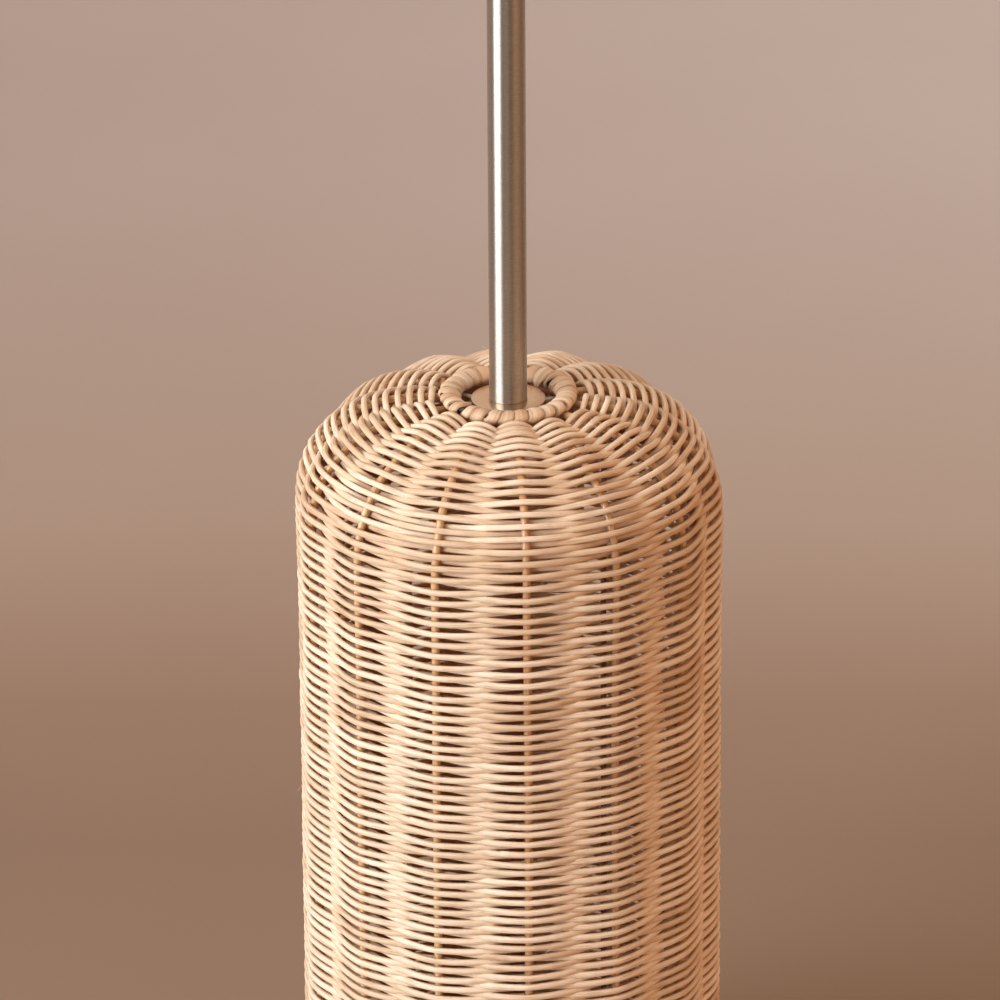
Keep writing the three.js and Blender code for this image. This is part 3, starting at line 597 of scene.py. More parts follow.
print("a strand's section has", STRAND_SIDES, "sides and is", round(2 * STRAND_FLAT / MM, 1), "mm deep")

# %% [markdown]
# A strand swings out over a stake and in behind the next. On the wall it runs nearly straight from one to the
# other, and is pressed a little thinner over each stake than between them. Near the rim, where the stakes
# stand close together, it bows flatter over each stake, is fullest there and dives more sharply. Every length
# has its own thickness and shifts a little at every stake, and the rows wander together, as woven rows do.

# %% the line of a weaver
STEPS_PER_STAKE = 10
ROW_SHIFT = 0.34 * MM
SWING_SHIFT = 0.2 * MM
ROWS_WANDER = 0.65 * MM
BOW = 0.85
RIM_WEAVE = [46 * MM, 75 * MM]
WALL_WEAVE = [60 * MM, 100 * MM]


def shifts_at(steps, grain, size):
    """A small shift for each stake that a strand passes, eased from one stake to the next."""
    first = math.floor(steps[0])
    own = grain.normal(0, size, math.ceil(steps[-1]) - first + 2)
    n = np.floor(steps).astype(int) - first
    ease = eased(steps - np.floor(steps))
    return own[n] * (1 - ease) + own[n + 1] * ease


def weaver_line(n, start, end, grain):
    """Points, ways out and thickness of one length of weaver n. Start and end count the stakes it passed."""
    steps = np.arange(round((end - start) * STEPS_PER_STAKE) + 1) / STEPS_PER_STAKE + start
    rows = WEAVERS * steps / STAKES - n
    s = np.interp(rows, row_samples, run_samples) + shifts_at(steps, grain, ROW_SHIFT)
    angle = stake_angle(steps)
    wander = np.sin(3 * angle + 61 * s) * np.sin(2 * angle - 37 * s)
    s = s + ROWS_WANDER * np.clip(rows, 0, 1) * wander
    r, z, out_r, out_z = at_run(np.clip(s, weave_foot, weave_head + 1 * MM))
    beat = np.cos(math.pi * (steps + n))
    straight = np.arcsin(beat) * 2 / math.pi
    near_rim = np.interp(r, RIM_WEAVE, [1.0, 0.0])
    beat = near_rim * powered(beat, BOW) + (1 - near_rim) * (0.5 * beat + 0.5 * straight)
    swing = beat * (SWING + shifts_at(steps, grain, SWING_SHIFT))
    r = r + out_r * swing
    z = z + out_z * swing
    on_wall = np.interp(r, WALL_WEAVE, [0.0, 1.0])
    pressed = 0.95 + 0.07 * np.abs(beat) + on_wall * 0.15 * (0.6 - np.abs(beat))
    thickness = STRAND * pressed * grain.uniform(0.93, 1.05)
    return placed(r, angle, z), placed(out_r, angle, out_z), thickness


print("a row shifts by about", round(ROW_SHIFT / MM, 2), "mm at each stake")

# %% [markdown]
# Cane comes in lengths of a few metres, so a weaver is made of several. A new length starts behind a stake, a
# little before the old one ends. The first one starts with a few stakes along the foot, where the other
# weaver still leaves room under it.

# %% weavers
FLAT_START = 5
LENGTH_IN_STAKES = (34, 66)
SHORTEST = 12
DONE_WITHIN = 4
TUCKED_END = [0.35, 0.7]
TUCKED_START = 0.3


def make_weaver(n, grain):
    """Points, ways out, thickness and tint of all lengths of weaver n, from the foot to the rim."""
    lengths, tints = [], []
    first = n * STAKES / WEAVERS - FLAT_START
    start = first
    total = (ROWS + n) * STAKES / WEAVERS + 1 - n
    while start < total - DONE_WITHIN:
        end = min(start + grain.integers(*LENGTH_IN_STAKES), total)
        if total - end < SHORTEST:
            end = total
        tucked = min(math.floor(end) + grain.choice(TUCKED_END), total)
        lengths.append(weaver_line(n, max(math.floor(start) - TUCKED_START, first), tucked, grain))
        tints.append(grain.uniform(0.1, 1.0))
        start = end
    return *zip(*lengths), tints


for n, name in enumerate(("weaver_one", "weaver_two")):
    made = make_weaver(n, rng)
    half = len(made[0]) // 2
    for part, chosen in (("lower", slice(0, half)), ("upper", slice(half, None))):
        mesh = strands(f"{name}_{part}", *(values[chosen] for values in made))
        finished(f"{name}_{part}", mesh, cane, stands_for=[name])
        print(name, part, len(made[0][chosen]), "lengths,", len(mesh.polygons), "faces")

# %% [markdown]
# Peeled cane sheds splinters. Short fibres stand off the wall here and there, each one a thin rod that
# leaves the surface at a low angle.

# %% loose fibres
FIBRES = 110
FIBRE = 0.14 * MM

fibres = []
for _ in range(FIBRES):
    at = rng.uniform(weave_foot, weave_head)
    turned = rng.uniform(0, 2 * math.pi)
    size = rng.uniform(3, 9) * MM
    r, z, out_r, out_z = at_run(at)
    t = np.linspace(0, 1, 6)
    lift = (SWING + STRAND_FLAT) * 0.85 + size * rng.uniform(0.1, 0.35) * t ** 1.5
    turn = turned + rng.choice([-1, 1]) * size * t / max(r, 0.04)
    rise = z + out_z * lift + rng.normal(0, 0.3) * size * t
    fibres.append(placed(r + out_r * lift, turn, rise))
finished("loose_fibres", tubes("loose_fibres", fibres, [FIBRE] * FIBRES, 0), cane)
print("loose fibres", FIBRES)

# %% [markdown]
# The opening is finished with a hoop of thick cane that is wrapped with flat cane strip. The strip is soaked,
# pulled tight and wound on, and dries into uneven, puffed bands with lifted edges and narrow dark gaps
# between them; the dark along the strips' edges is painted shade. One turn of the strip is a grid of points:
# round the hoop's oval section one way, and from edge to edge of the strip the other. It has its own width,
# lean, crown and lift, and here and there an edge is torn back.

# %% one turn of the strip
TURN_STEPS = 36
STRIP_STEPS = 10
STRIP_THICKNESS = 0.45 * MM
STRIP_SINK = 1.3 * MM
TURN_LEAN = 0.5 * MM
EDGE_WAVE = 0.4 * MM
RIPPLE = 0.12 * MM
# How much shade is painted on an edge that lies under the next turn, and on one that lies over it.
PAINTED_SHADE_UNDER_NEXT = 0.6
PAINTED_SHADE_OVER_NEXT = 0.2

way = np.linspace(0, 1, TURN_STEPS + 1)[:, None]
edge = np.linspace(-1, 1, STRIP_STEPS + 1)[None, :]
around = 2 * math.pi * way - math.pi / 2


def on_hoop(hoop, around, out, sideways, turn, lean=0.0):
    """Puts a grid round a hoop at a turn along it: out from its oval section, and sideways along the hoop."""
    radius, height, half_width, half_height, tilt = hoop
    cos = np.cos(around)
    sin = np.sin(around)
    size = np.hypot(half_height * cos, half_width * sin)
    flat_x = half_width * cos + out * half_height * cos / size
    flat_y = half_height * sin + out * half_width * sin / size
    r = radius + flat_x * math.cos(tilt) - flat_y * math.sin(tilt)
    z = height + flat_x * math.sin(tilt) + flat_y * math.cos(tilt)
    major = turn + (sideways + lean * sin) / np.maximum(r, 0.02)
    return placed(r, major, z + 0 * major).reshape(-1, 3)


def strip_turn(half, right, left, tears, wave, crown):
    """How far each point of a turn lies sideways and out, and how much painted shade it gets. Right and left are the
    lifts of its edges, below 0 where the edge lies under the next turn and takes more painted shade. A tear is (place
    round the section, side, length round the section, share of the half width torn away, lift)."""
    sideways = edge * half + EDGE_WAVE * np.sign(edge) * edge ** 2 * np.sin(2 * around + wave[0])
    out = -STRIP_THICKNESS / 2 - STRIP_SINK + crown * (1 - np.abs(edge) ** 2.4)
    painted_groove_shade = 0 * around * edge
    for lift, side in ((right, 1), (left, -1)):
        raised = max(lift, 0.4 * lift)
        out = out + raised * np.clip(side * edge, 0, 1) ** 1.3 * (0.65 + 0.35 * np.sin(around + wave[1]))
        # Painted shade along the edges: more where the edge lies under the next turn, less where it lies over.
        painted_groove_shade = painted_groove_shade + np.clip((side * edge - 0.5) / 0.3, 0, 1) * (PAINTED_SHADE_UNDER_NEXT if lift < 0 else PAINTED_SHADE_OVER_NEXT)
    out = out + RIPPLE * np.sin(5 * around + wave[2]) * edge
    for place, side, span, share, raised in tears:
        off = np.angle(np.exp(1j * (around - place))) / span
        bend = np.clip(1 - off * off, 0, 1) * np.clip(side * edge, 0, 1) ** 1.5
        sideways = sideways - side * bend * share * half
        out = out + raised * bend
    return sideways, out, painted_groove_shade


print("points in a turn", (TURN_STEPS + 1) * (STRIP_STEPS + 1))

# %% [markdown]
# A wrapped hoop is all its turns laid side by side, and a Solidify modifier gives the strip its thickness.
# Each turn lies over or under the next by chance, as a hand winds it. Where a strip ran out, its loose end
# stands off the hoop and narrows to a point.

# %% helper for wrapped hoops
EDGE_LIFT = 0.8 * MM
OWN_PLACE = (0.7, 0.37)


def wrapped_hoop(name, hoop, turns, width, stands_for, seed, tears=(), loose_ends=()):
    """A hoop is (radius, height, half width, half height, tilt). A tear starts with the number of its turn. A
    loose end is (turn, start and end round the section, half width, lift of its point)."""
    grain = np.random.default_rng(seed)
    length = math.pi * (hoop[2] + hoop[3])
    points, tints, uvs, grooves = [], [], [], []
    overlap = EDGE_LIFT * grain.uniform(0.1, 1.0, turns) * grain.choice([-1, 1, 1], turns)

    def keep(grid, painted_groove_shade, u, v):
        points.append(grid)
        tints.append(np.full(len(grid), grain.uniform(0.1, 1.0)))
        grooves.append(painted_groove_shade.ravel())
        uvs.append(np.stack([u + 0 * edge, v + 0 * way], 2).reshape(-1, 2))

    for n in range(turns):
        half = width * grain.uniform(0.92, 1.14) / 2
        lean = grain.normal(0, TURN_LEAN)
        wave = grain.uniform(0, 2 * math.pi, 4)
        crown = grain.uniform(1.1, 1.75) * MM
        own_tears = [tear[1:] for tear in tears if tear[0] == n]
        sideways, out, painted_groove_shade = strip_turn(half, overlap[n], -overlap[n - 1], own_tears, wave, crown)
        drift = 0.45 * (2 * way - 1) ** 3 + grain.normal(0, 0.05)
        grid = on_hoop(hoop, around, out, sideways, 2 * math.pi * (n + drift) / turns, lean)
        keep(grid, painted_groove_shade, way * length + OWN_PLACE[0] * n, edge * half + OWN_PLACE[1] * n)
    for n, start, end, half, raised in loose_ends:
        narrower = np.where(way < 0.55, 1.0, 1 - (way - 0.55) / 0.45 * 0.94)
        out = 0.4 * MM + raised * np.clip(way - 0.3, 0, 1) ** 2 / 0.49 + 0.3 * MM * (1 - edge ** 2)
        sideways = edge * half * narrower + 1.2 * MM * way
        grid = on_hoop(hoop, start + (end - start) * way, out, sideways, 2 * math.pi * (n + 0.3) / turns)
        keep(grid, 0 * out, way * length / 2 + OWN_PLACE[0] * n, edge * half + 0.11)
    row, column = np.meshgrid(np.arange(TURN_STEPS), np.arange(STRIP_STEPS), indexing="ij")
    corner = (row * (STRIP_STEPS + 1) + column).ravel()
    quads = np.stack([corner, corner + 1, corner + STRIP_STEPS + 2, corner + STRIP_STEPS + 1], 1)
    faces = np.concatenate([quads + n * len(points[0]) for n in range(len(points))])
    mesh = bpy.data.meshes.new(name)
    mesh.from_pydata(np.concatenate(points).tolist(), [], faces.tolist())
    mesh.shade_smooth()
    add_tint_and_uv(mesh, np.concatenate(tints), np.concatenate(uvs))
    # The painted shade along the strips' edges, read by the finish.
    add_attribute(mesh, "painted_groove_shade", np.concatenate(grooves))
    bm = bmesh.new()
    bm.from_mesh(mesh)
    bmesh.ops.recalc_face_normals(bm, faces=bm.faces)
    bm.to_mesh(mesh)
    bm.free()
    wall = finished(name, mesh, strip, stands_for=[stands_for]).modifiers.new("thickness", "SOLIDIFY")
    wall.thickness = STRIP_THICKNESS
    wall.offset = 0
    print(name, "turns", turns, "faces", len(mesh.polygons))


print("edges lift by up to", round(EDGE_LIFT / MM, 1), "mm")

# %% [markdown]
# The rim's hoop is a tilted oval, higher outside than inside. The photograph shows where its wrapping is
# torn: a wide tear and loose ends near the right, and small gaps round the rest. A gap is two tears that
# face each other, on the edges of neighbouring turns.

# %% rim
RIM_TURNS = 28
RIM_STRIP = 9.0 * MM
RIM_HALF_WIDTH = 6.6 * MM
RIM_HALF_HEIGHT = 4.3 * MM
RIM_TILT = math.radians(15)
RIM_SINK = 0.9 * MM
INSIDE = math.radians(160)
ABOVE = math.radians(95)
OUTSIDE = math.radians(20)

rim_low, rim_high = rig.box("rim_wrap")
rim_reach = math.hypot(RIM_HALF_WIDTH * math.cos(RIM_TILT), RIM_HALF_HEIGHT * math.sin(RIM_TILT))
rim_hoop = (rim_high[0] - rim_reach, (rim_low[2] + rim_high[2]) / 2 - RIM_SINK, RIM_HALF_WIDTH,
            RIM_HALF_HEIGHT, RIM_TILT)


def notch(degrees, place, span, share, raised):
    """A gap between two turns: one edge is torn back and raised by some millimetres, the next one a little."""
    n = round(degrees / 360 * RIM_TURNS - 0.5) % RIM_TURNS
    return [(n, place, 1, span, share, raised * MM),
            ((n + 1) % RIM_TURNS, place, -1, span, 0.8 * share, 0.1 * MM)]


rim_tears = [(2, INSIDE, 1, 1.3, 0.45, 0.9 * MM), (3, INSIDE, -1, 1.5, 1.0, 0.1 * MM)]
for gap in ((20, INSIDE, 0.9, 0.7, 1.4), (178, INSIDE, 0.9, 0.5, 0.9), (192, OUTSIDE, 0.6, 0.3, 0.6),
            (206, OUTSIDE, 0.6, 0.22, 0.6), (229, OUTSIDE, 0.8, 0.26, 0.6), (251, OUTSIDE, 0.7, 0.18, 0.5),
            (283, ABOVE, 0.6, 0.3, 0.4), (333, OUTSIDE, 0.9, 0.42, 0.8)):
    rim_tears += notch(*gap)
rim_ends = [(0.121 * RIM_TURNS, math.radians(60), math.radians(208), 4.2 * MM, 3.0 * MM),
            (0.06 * RIM_TURNS, math.radians(150), math.radians(262), 0.9 * MM, 2.4 * MM)]
wrapped_hoop("rim_wrapping", rim_hoop, RIM_TURNS, RIM_STRIP, "rim_wrap", 5, rim_tears, rim_ends)

# %% [markdown]
# The foot's hoop has the same wrapping on a round section. The photograph doesn't show it, so it has no
# tears.

# %% foot hoop
FOOT_TURNS = 92
FOOT_STRIP = 9.6 * MM

foot_low, foot_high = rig.box("foot_hoop")
foot_section = (foot_high[2] - foot_low[2]) / 2
foot_middle = (foot_high[2] + foot_low[2]) / 2
foot_hoop = (foot_high[0] - foot_section, foot_middle, foot_section, foot_section, 0)
wrapped_hoop("foot_wrapping", foot_hoop, FOOT_TURNS, FOOT_STRIP, "foot_hoop", 8)

# %% [markdown]
# The pole and the disc under it are satin nickel. Nickel is plated on brushed steel, so it keeps fine lines:
# round the pole from the brushing belt, and hardly any on the turned disc. Anisotropy stretches the highlight
# across the lines, which gives a brushed tube its long pale stripe. Zinc and brass are made the same way.

# %% metal finishes
def toned(colour, factor):
    return tuple(min(1, factor * c) for c in colour)


def brushed(name, colour, rough, lines, aniso=0.0, turned=0.0, depth=0.03 * MM, tones=0.12):
    """Plated metal with fine lines. The lines are the scale of their pattern along X, Y and Z, and the tones
    say how far they differ."""
    material, tree, shader = new_finish(name, Metallic=1.0, Anisotropic=aniso, Anisotropic_Rotation=turned)
    grain = streaks(tree, lines, 3.0, 0.7, "Object")
    cloud = noise(tree, coordinates(tree), 22, 3.0)
    tone = ramp(tree, grain, (0.25, toned(colour, 1 - tones)), (0.75, toned(colour, 1 + 0.7 * tones)))
    clouded = calculated(tree, "MULTIPLY_ADD", cloud, 0.06, rough - 0.03 - 0.2 * tones)
    feed(tree, shader.inputs["Base Color"], tone)
    feed(tree, shader.inputs["Roughness"], calculated(tree, "MULTIPLY_ADD", grain, 0.4 * tones, clouded))
    bump(tree, shader, grain, 0.3, depth)
    return material


nickel = brushed("brushed_nickel", (0.66, 0.61, 0.56), 0.42, (260, 260, 1900), aniso=1.0, turned=0.25,
                 tones=0.2)
disc_nickel = brushed("turned_nickel", (0.84, 0.68, 0.53), 0.27, (900, 900, 900), depth=0.0003 * MM,
                      tones=0.02)
zinc = brushed("zinc_plate", (0.62, 0.62, 0.6), 0.36, (700, 700, 700))
brass = brushed("brass", (0.72, 0.53, 0.24), 0.28, (500, 500, 2500))
print("metal finishes", nickel.name, disc_nickel.name, zinc.name, brass.name)

# %% [markdown]
# The other finishes are plastic, enamel, porcelain, rubber, lacquer and cast iron. What tells them apart is
# their gloss and the size of their grain, so one recipe serves: a fine grain roughens the surface, and a
# broad one shifts its tone by a few hundredths.

# %% plain finishes
TONE_SHIFT = 0.06


def moulded(name, colour, rough, scale=900, coat=0.0, metallic=0.0, depth=0.04 * MM):
    material, tree, shader = new_finish(name, Metallic=metallic, Coat_Weight=coat)
    fine = noise(tree, coordinates(tree), scale, 4.0, 0.6)
    broad = noise(tree, coordinates(tree), scale / 30, 3.0)
    tone = ramp(tree, broad, (0.3, toned(colour, 1 - TONE_SHIFT)), (0.7, toned(colour, 1 + TONE_SHIFT)))
    feed(tree, shader.inputs["Base Color"], tone)
    feed(tree, shader.inputs["Roughness"], spread(tree, fine, rough - 0.07, rough + 0.07))
    bump(tree, shader, fine, 0.3, depth)
    return material


black_plastic = moulded("black_plastic", (0.02, 0.019, 0.018), 0.42)
porcelain = moulded("porcelain", (0.86, 0.84, 0.79), 0.25, coat=0.4)
white_enamel = moulded("white_enamel", (0.8, 0.79, 0.76), 0.35, coat=0.2)
rubber = moulded("rubber", (0.03, 0.03, 0.03), 0.8, scale=1500)
cast_iron = moulded("cast_iron", (0.045, 0.045, 0.048), 0.6, scale=500, depth=0.3 * MM, metallic=0.4)
opal_plastic = moulded("opal_plastic", (0.84, 0.83, 0.8), 0.3)
# The hidden frame's brown lacquer is partly its own finish and partly painted shade: its tone makes the gaps in the
# weave look dark and warm.
lacquer_and_painted_shade = moulded("lacquer_and_painted_shade", (0.38, 0.16, 0.08), 0.6)
shaded_cane = moulded("shaded_cane", (0.09, 0.05, 0.03), 0.8)
print("materials", len(bpy.data.materials))

# %% [markdown]
# Most of the lamp's hardware is turned on a lathe, and it is made the same way here: a profile is spun round
# the axis, and its sharp edges get a small bevel, because no real edge is perfectly sharp and the bevel
# catches the light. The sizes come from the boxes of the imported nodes.

# %% helpers for turned pieces
SHARP = 0.5


def soften(bm, width):
    sharp = [e for e in bm.edges if len(e.link_faces) == 2 and e.calc_face_angle(0) > SHARP]
    if sharp and width > 0:
        bmesh.ops.bevel(bm, geom=sharp, offset=width, offset_type="OFFSET", affect="EDGES", segments=2,
                        profile=0.5, material=-1, clamp_overlap=True)


def spun(profile, steps=96, edge=0.3 * MM):
    """A profile of (radius, height), turned. It closes on itself unless it starts on the axis."""
    bm = bmesh.new()
    verts = [bm.verts.new((r, 0, z)) for r, z in profile]
    edges = [bm.edges.new(pair) for pair in zip(verts, verts[1:])]
    if profile[0][0] > 0:
        edges.append(bm.edges.new((verts[-1], verts[0])))
    bmesh.ops.spin(bm, geom=verts + edges, cent=(0, 0, 0), axis=(0, 0, 1), angle=2 * math.pi, steps=steps,
                   use_merge=True)
    bmesh.ops.remove_doubles(bm, verts=bm.verts, dist=MERGE)
    bmesh.ops.recalc_face_normals(bm, faces=bm.faces)
    soften(bm, edge)
    return bm


def turned_piece(name, profile, material, stands_for, body="stand", steps=96, edge=0.3 * MM):
    return finished(name, mesh_of(spun(profile, steps, edge), name), material, body, [stands_for])


def pipe(inner, outer, bottom, top):
    return [(inner, bottom), (outer, bottom), (outer, top), (inner, top)]


def round_size(node_name):
    """Radius, lowest and highest point of a round node."""
    low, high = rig.box(node_name)
    return high[0], low[2], high[2]


print("edges sharper than", SHARP, "radians are bevelled")

# %% [markdown]
# The pole is two lengths of 22 mm tube that screw together at a coupler, on a flat disc with a hole for the
# threaded rod that clamps the stack.

# %% pole and disc
SEAT_GAP = 0.3 * MM
TUBE_WALL = 1 * MM
TUBE_SEAT = 0.25 * MM
ROD_HOLE = 5.4 * MM

for node_name in ("pole_lower", "pole_upper"):
    pole_radius, low, high = round_size(node_name)
    profile = pipe(pole_radius - TUBE_WALL, pole_radius, low - TUBE_SEAT, high)
    turned_piece(f"{node_name}_tube", profile, nickel, node_name, steps=128, edge=0.25 * MM)
    print(node_name, "from", round(low, 4), "to", round(high, 4))
disc_radius, disc_low, disc_high = round_size("seat_disc")
disc_profile = pipe(ROD_HOLE, disc_radius, disc_low, disc_high)
turned_piece("seat_disc_turned", disc_profile, disc_nickel, "seat_disc", steps=128, edge=0.35 * MM)
print("disc radius", round(disc_radius, 4))

# %% [markdown]
# Under the disc sits the hub of the inner wire frame: a zinc plate, a lacquered ring of wire, and pale spokes
# of which the photograph shows the ends between the disc and the rim. A wire ring is a circle of vertices,
# spun round the axis.

# %% hub under the disc
RING_WIRE = 2 * MM
HUB_PLATE_RADIUS = 18 * MM
HUB_PLATE = 3 * MM
SPOKE = 1.25 * MM
SPOKE_REACH = np.array([15.5, 25, 36]) * MM
SPOKE_ANGLES = np.radians([22, 147, 172, 270])


def ring_wire(radius, wire, z, steps=160, sides=14):
    bm = bmesh.new()
    ring = bmesh.ops.create_circle(bm, segments=sides, radius=wire)["verts"]
    bmesh.ops.rotate(bm, verts=ring, cent=(0, 0, 0), matrix=Matrix.Rotation(math.pi / 2, 3, "X"))
    bmesh.ops.translate(bm, verts=ring, vec=(radius, 0, z))
    bmesh.ops.spin(bm, geom=bm.verts[:] + bm.edges[:], cent=(0, 0, 0), axis=(0, 0, 1), angle=2 * math.pi,
                   steps=steps, use_merge=True)
    return bm


hub_low, hub_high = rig.box("frame_hub")
ring_height = hub_low[2] + RING_WIRE
plate_top = disc_low - SEAT_GAP
plate_profile = pipe(ROD_HOLE, HUB_PLATE_RADIUS, plate_top - HUB_PLATE, plate_top)
turned_piece("hub_plate", plate_profile, zinc, "frame_hub", steps=72)
hub_ring = ring_wire(hub_high[0] - RING_WIRE, RING_WIRE, ring_height)
# The ring's lacquer is partly painted shade, as for the column and ribs.
finished("hub_ring", mesh_of(hub_ring, "hub_ring"), lacquer_and_painted_shade, stands_for=["frame_hub"])
spoke_height = ring_height + RING_WIRE + 0.65 * MM
spokes = [placed(SPOKE_REACH, angle, np.full(len(SPOKE_REACH), spoke_height)) for angle in SPOKE_ANGLES]
spoke_mesh = tubes("hub_spokes", spokes, [SPOKE] * len(spokes))
finished("hub_spokes", spoke_mesh, white_enamel, stands_for=["frame_hub"])
print("hub ring at", round(ring_height, 4))

# %% [markdown]
# The lampholder starts with a nickel cup on the pole's end, spun from sheet, so its wall is thin and its
# corner round. A push-through switch bar of brass crosses it. The cup's two holes for the bar are cut with a
# Boolean modifier, whose result becomes the mesh.

# %% lampholder cup and switch bar
CUP_WALL = 1.2 * MM
CUP_CORNER = 6 * MM
BAR_CLEARANCE = 0.5 * MM
BORE_REACH = 30 * MM


def arc(cx, cz, size, start, end, steps=8):
    turns = [start + (end - start) * i / steps for i in range(steps + 1)]
    return [(cx + size * math.cos(t), cz + size * math.sin(t)) for t in turns]


def bar_along_x(radius, start, end, height, edge=0.0):
    bm = spun([(0, start), (radius, start), (radius, end), (0, end)], 48, edge)
    bmesh.ops.rotate(bm, verts=bm.verts, cent=(0, 0, 0), matrix=Matrix.Rotation(math.pi / 2, 3, "Y"))
    bmesh.ops.translate(bm, verts=bm.verts, vec=(0, 0, height))
    return bm


def cut_with(piece, tool_bm, name):
    tool = bpy.data.objects.new(name, mesh_of(tool_bm, name))
    bpy.context.scene.collection.objects.link(tool)
    modifier = piece.modifiers.new("bore", "BOOLEAN")
    modifier.object = tool
    modifier.operation = "DIFFERENCE"
    modifier.solver = "EXACT"
    bpy.context.view_layer.update()
    cut = bpy.data.meshes.new_from_object(piece.evaluated_get(bpy.context.evaluated_depsgraph_get()))
    piece.modifiers.remove(modifier)
    old = piece.data
    piece.data = cut
    bpy.data.meshes.remove(old)
    bpy.data.objects.remove(tool)


cup_radius, cup_low, cup_high = round_size("holder_cup")
corner_at = (cup_radius - CUP_CORNER, cup_low + CUP_CORNER)
cup_profile = [(ROD_HOLE, cup_low), *arc(*corner_at, CUP_CORNER, -math.pi / 2, 0),
               (cup_radius, cup_high), (cup_radius - CUP_WALL, cup_high),
               *arc(*corner_at, CUP_CORNER - CUP_WALL, 0, -math.pi / 2), (ROD_HOLE, cup_low + CUP_WALL)]
cup = turned_piece("cup_spun", cup_profile, nickel, "holder_cup", edge=0.2 * MM)
bar_low, bar_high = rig.box("switch_bar")
bar_radius = (bar_high[2] - bar_low[2]) / 2
bar_height = (bar_high[2] + bar_low[2]) / 2
cut_with(cup, bar_along_x(bar_radius + BAR_CLEARANCE, -BORE_REACH, BORE_REACH, bar_height), "bar_bore")
bar = bar_along_x(bar_radius, bar_low[0], bar_high[0], bar_height, 0.7 * MM)
finished("switch_bar_turned", mesh_of(bar, "switch_bar_turned"), brass, "switch", ["switch_bar"])
print("cup from", round(cup_low, 4), "to", round(cup_high, 4))

# %% [markdown]
# On the cup stands a black skirt with a flange that carries the shade, and a ring screws down on it. Both
# are moulded plastic. The skirt's thread is a row of ridges in the profile, which look like a thread at this
# size. The ring's rim has a grip: each face round it is inset and pushed in a little.

# %% lampholder skirt and shade ring
SKIRT_BORE = 16.6 * MM
SKIRT_FOOT = 18.7 * MM
SKIRT_RADIUS = 19 * MM
FLANGE = 2.5 * MM
SKIRT_THREADS = 6
SKIRT_PITCH = 2 * MM
THREAD_ABOVE_CUP = 13 * MM
RING_BORE = 19.5 * MM
RING_NECK = 22.5 * MM
RING_RIM = 2 * MM


def in_mm(base, *points):
    """Profile points in millimetres, as radius and height above a base."""
    return [(r * MM, base + z * MM) for r, z in points]


flange_radius, skirt_low, skirt_high = round_size("holder_skirt")
cup_top = cup_high + SEAT_GAP
flange_top = cup_top + FLANGE
skirt_profile = [(SKIRT_BORE, skirt_low), (SKIRT_FOOT, skirt_low), (SKIRT_FOOT, cup_top),
                 (flange_radius, cup_top), (flange_radius, flange_top), (SKIRT_RADIUS, flange_top)]
for turn in range(SKIRT_THREADS):
    thread_low = cup_top + THREAD_ABOVE_CUP + turn * SKIRT_PITCH
    skirt_profile += in_mm(thread_low, (19, 0), (18.5, 0.5), (18.5, 1), (19, 1.5))
skirt_profile += [(SKIRT_RADIUS, skirt_high), (SKIRT_BORE, skirt_high)]
turned_piece("skirt_moulded", skirt_profile, black_plastic, "holder_skirt", edge=0.12 * MM)

ring_radius, ring_low, ring_high = round_size("shade_ring")
ring_step = ring_low + RING_RIM
ring_profile = [(RING_BORE, ring_low), (ring_radius, ring_low), (ring_radius, ring_step),
                (RING_NECK, ring_step), (RING_NECK, ring_high), (RING_BORE, ring_high)]
ring_bm = spun(ring_profile)
grip = [face for face in ring_bm.faces
        if face.calc_center_median().xy.length > ring_radius - 0.05 * MM and abs(face.normal.z) < 0.2]
bmesh.ops.inset_individual(ring_bm, faces=grip, thickness=0.25 * MM, depth=-0.15 * MM)
ring_mesh = mesh_of(ring_bm, "shade_ring_moulded")
finished("shade_ring_moulded", ring_mesh, black_plastic, "clamp_ring", ["shade_ring"])
print("skirt to", round(skirt_high, 4), "and", len(grip), "faces in the ring's grip")

# %% [markdown]
# The bulb: a brass screw cap, a white plastic collar that hides the driver, and an opal globe. The cap's
# thread is rolled, so its ridges are round. Opal glass scatters light under its surface, so it looks soft and
# never quite white at its edges. The globe has a wall, an outer arc and an inner one, as blown glass has.

# %% bulb
CAP_THREADS = 5
CAP_PITCH = 3.6 * MM
THREAD_ABOVE_TIP = 8 * MM
GLASS = 1.2 * MM

_, cap_low, cap_high = round_size("bulb_cap")
cap_profile = in_mm(cap_low, (0, 0), (4.5, 0), (4.5, 3), (11.6, 6.6))
for turn in range(CAP_THREADS):
    thread_low = cap_low + THREAD_ABOVE_TIP + turn * CAP_PITCH
    cap_profile += in_mm(thread_low, (11.8, 0), (12.5, 0.7), (13, 1.5), (13, 1.9), (12.5, 2.7))
cap_profile += in_mm(cap_high, (12, -1), (12, 0), (0, 0))
turned_piece("bulb_cap_rolled", cap_profile, brass, "bulb_cap", "bulb", steps=64, edge=0)

collar_radius, collar_low, collar_high = round_size("bulb_collar")
collar_profile = in_mm(collar_low, (0, 0), (13.2, 0), (14, 1), (14, 6), (15.5, 9), (18, 14))
collar_profile += [(collar_radius, collar_high), (0, collar_high)]
turned_piece("bulb_collar_moulded", collar_profile, opal_plastic, "bulb_collar", "bulb", steps=72)

opal, opal_tree, opal_shader = new_finish("opal_glass", Roughness=0.22, Subsurface_Weight=0.35,
                                          Subsurface_Scale=0.01, Coat_Weight=0.5, Coat_Roughness=0.05)
opal_cloud = noise(opal_tree, coordinates(opal_tree), 30, 3.0)
opal_tone = ramp(opal_tree, opal_cloud, (0.3, (0.86, 0.85, 0.82)), (0.7, (0.9, 0.89, 0.87)))
feed(opal_tree, opal_shader.inputs["Base Color"], opal_tone)

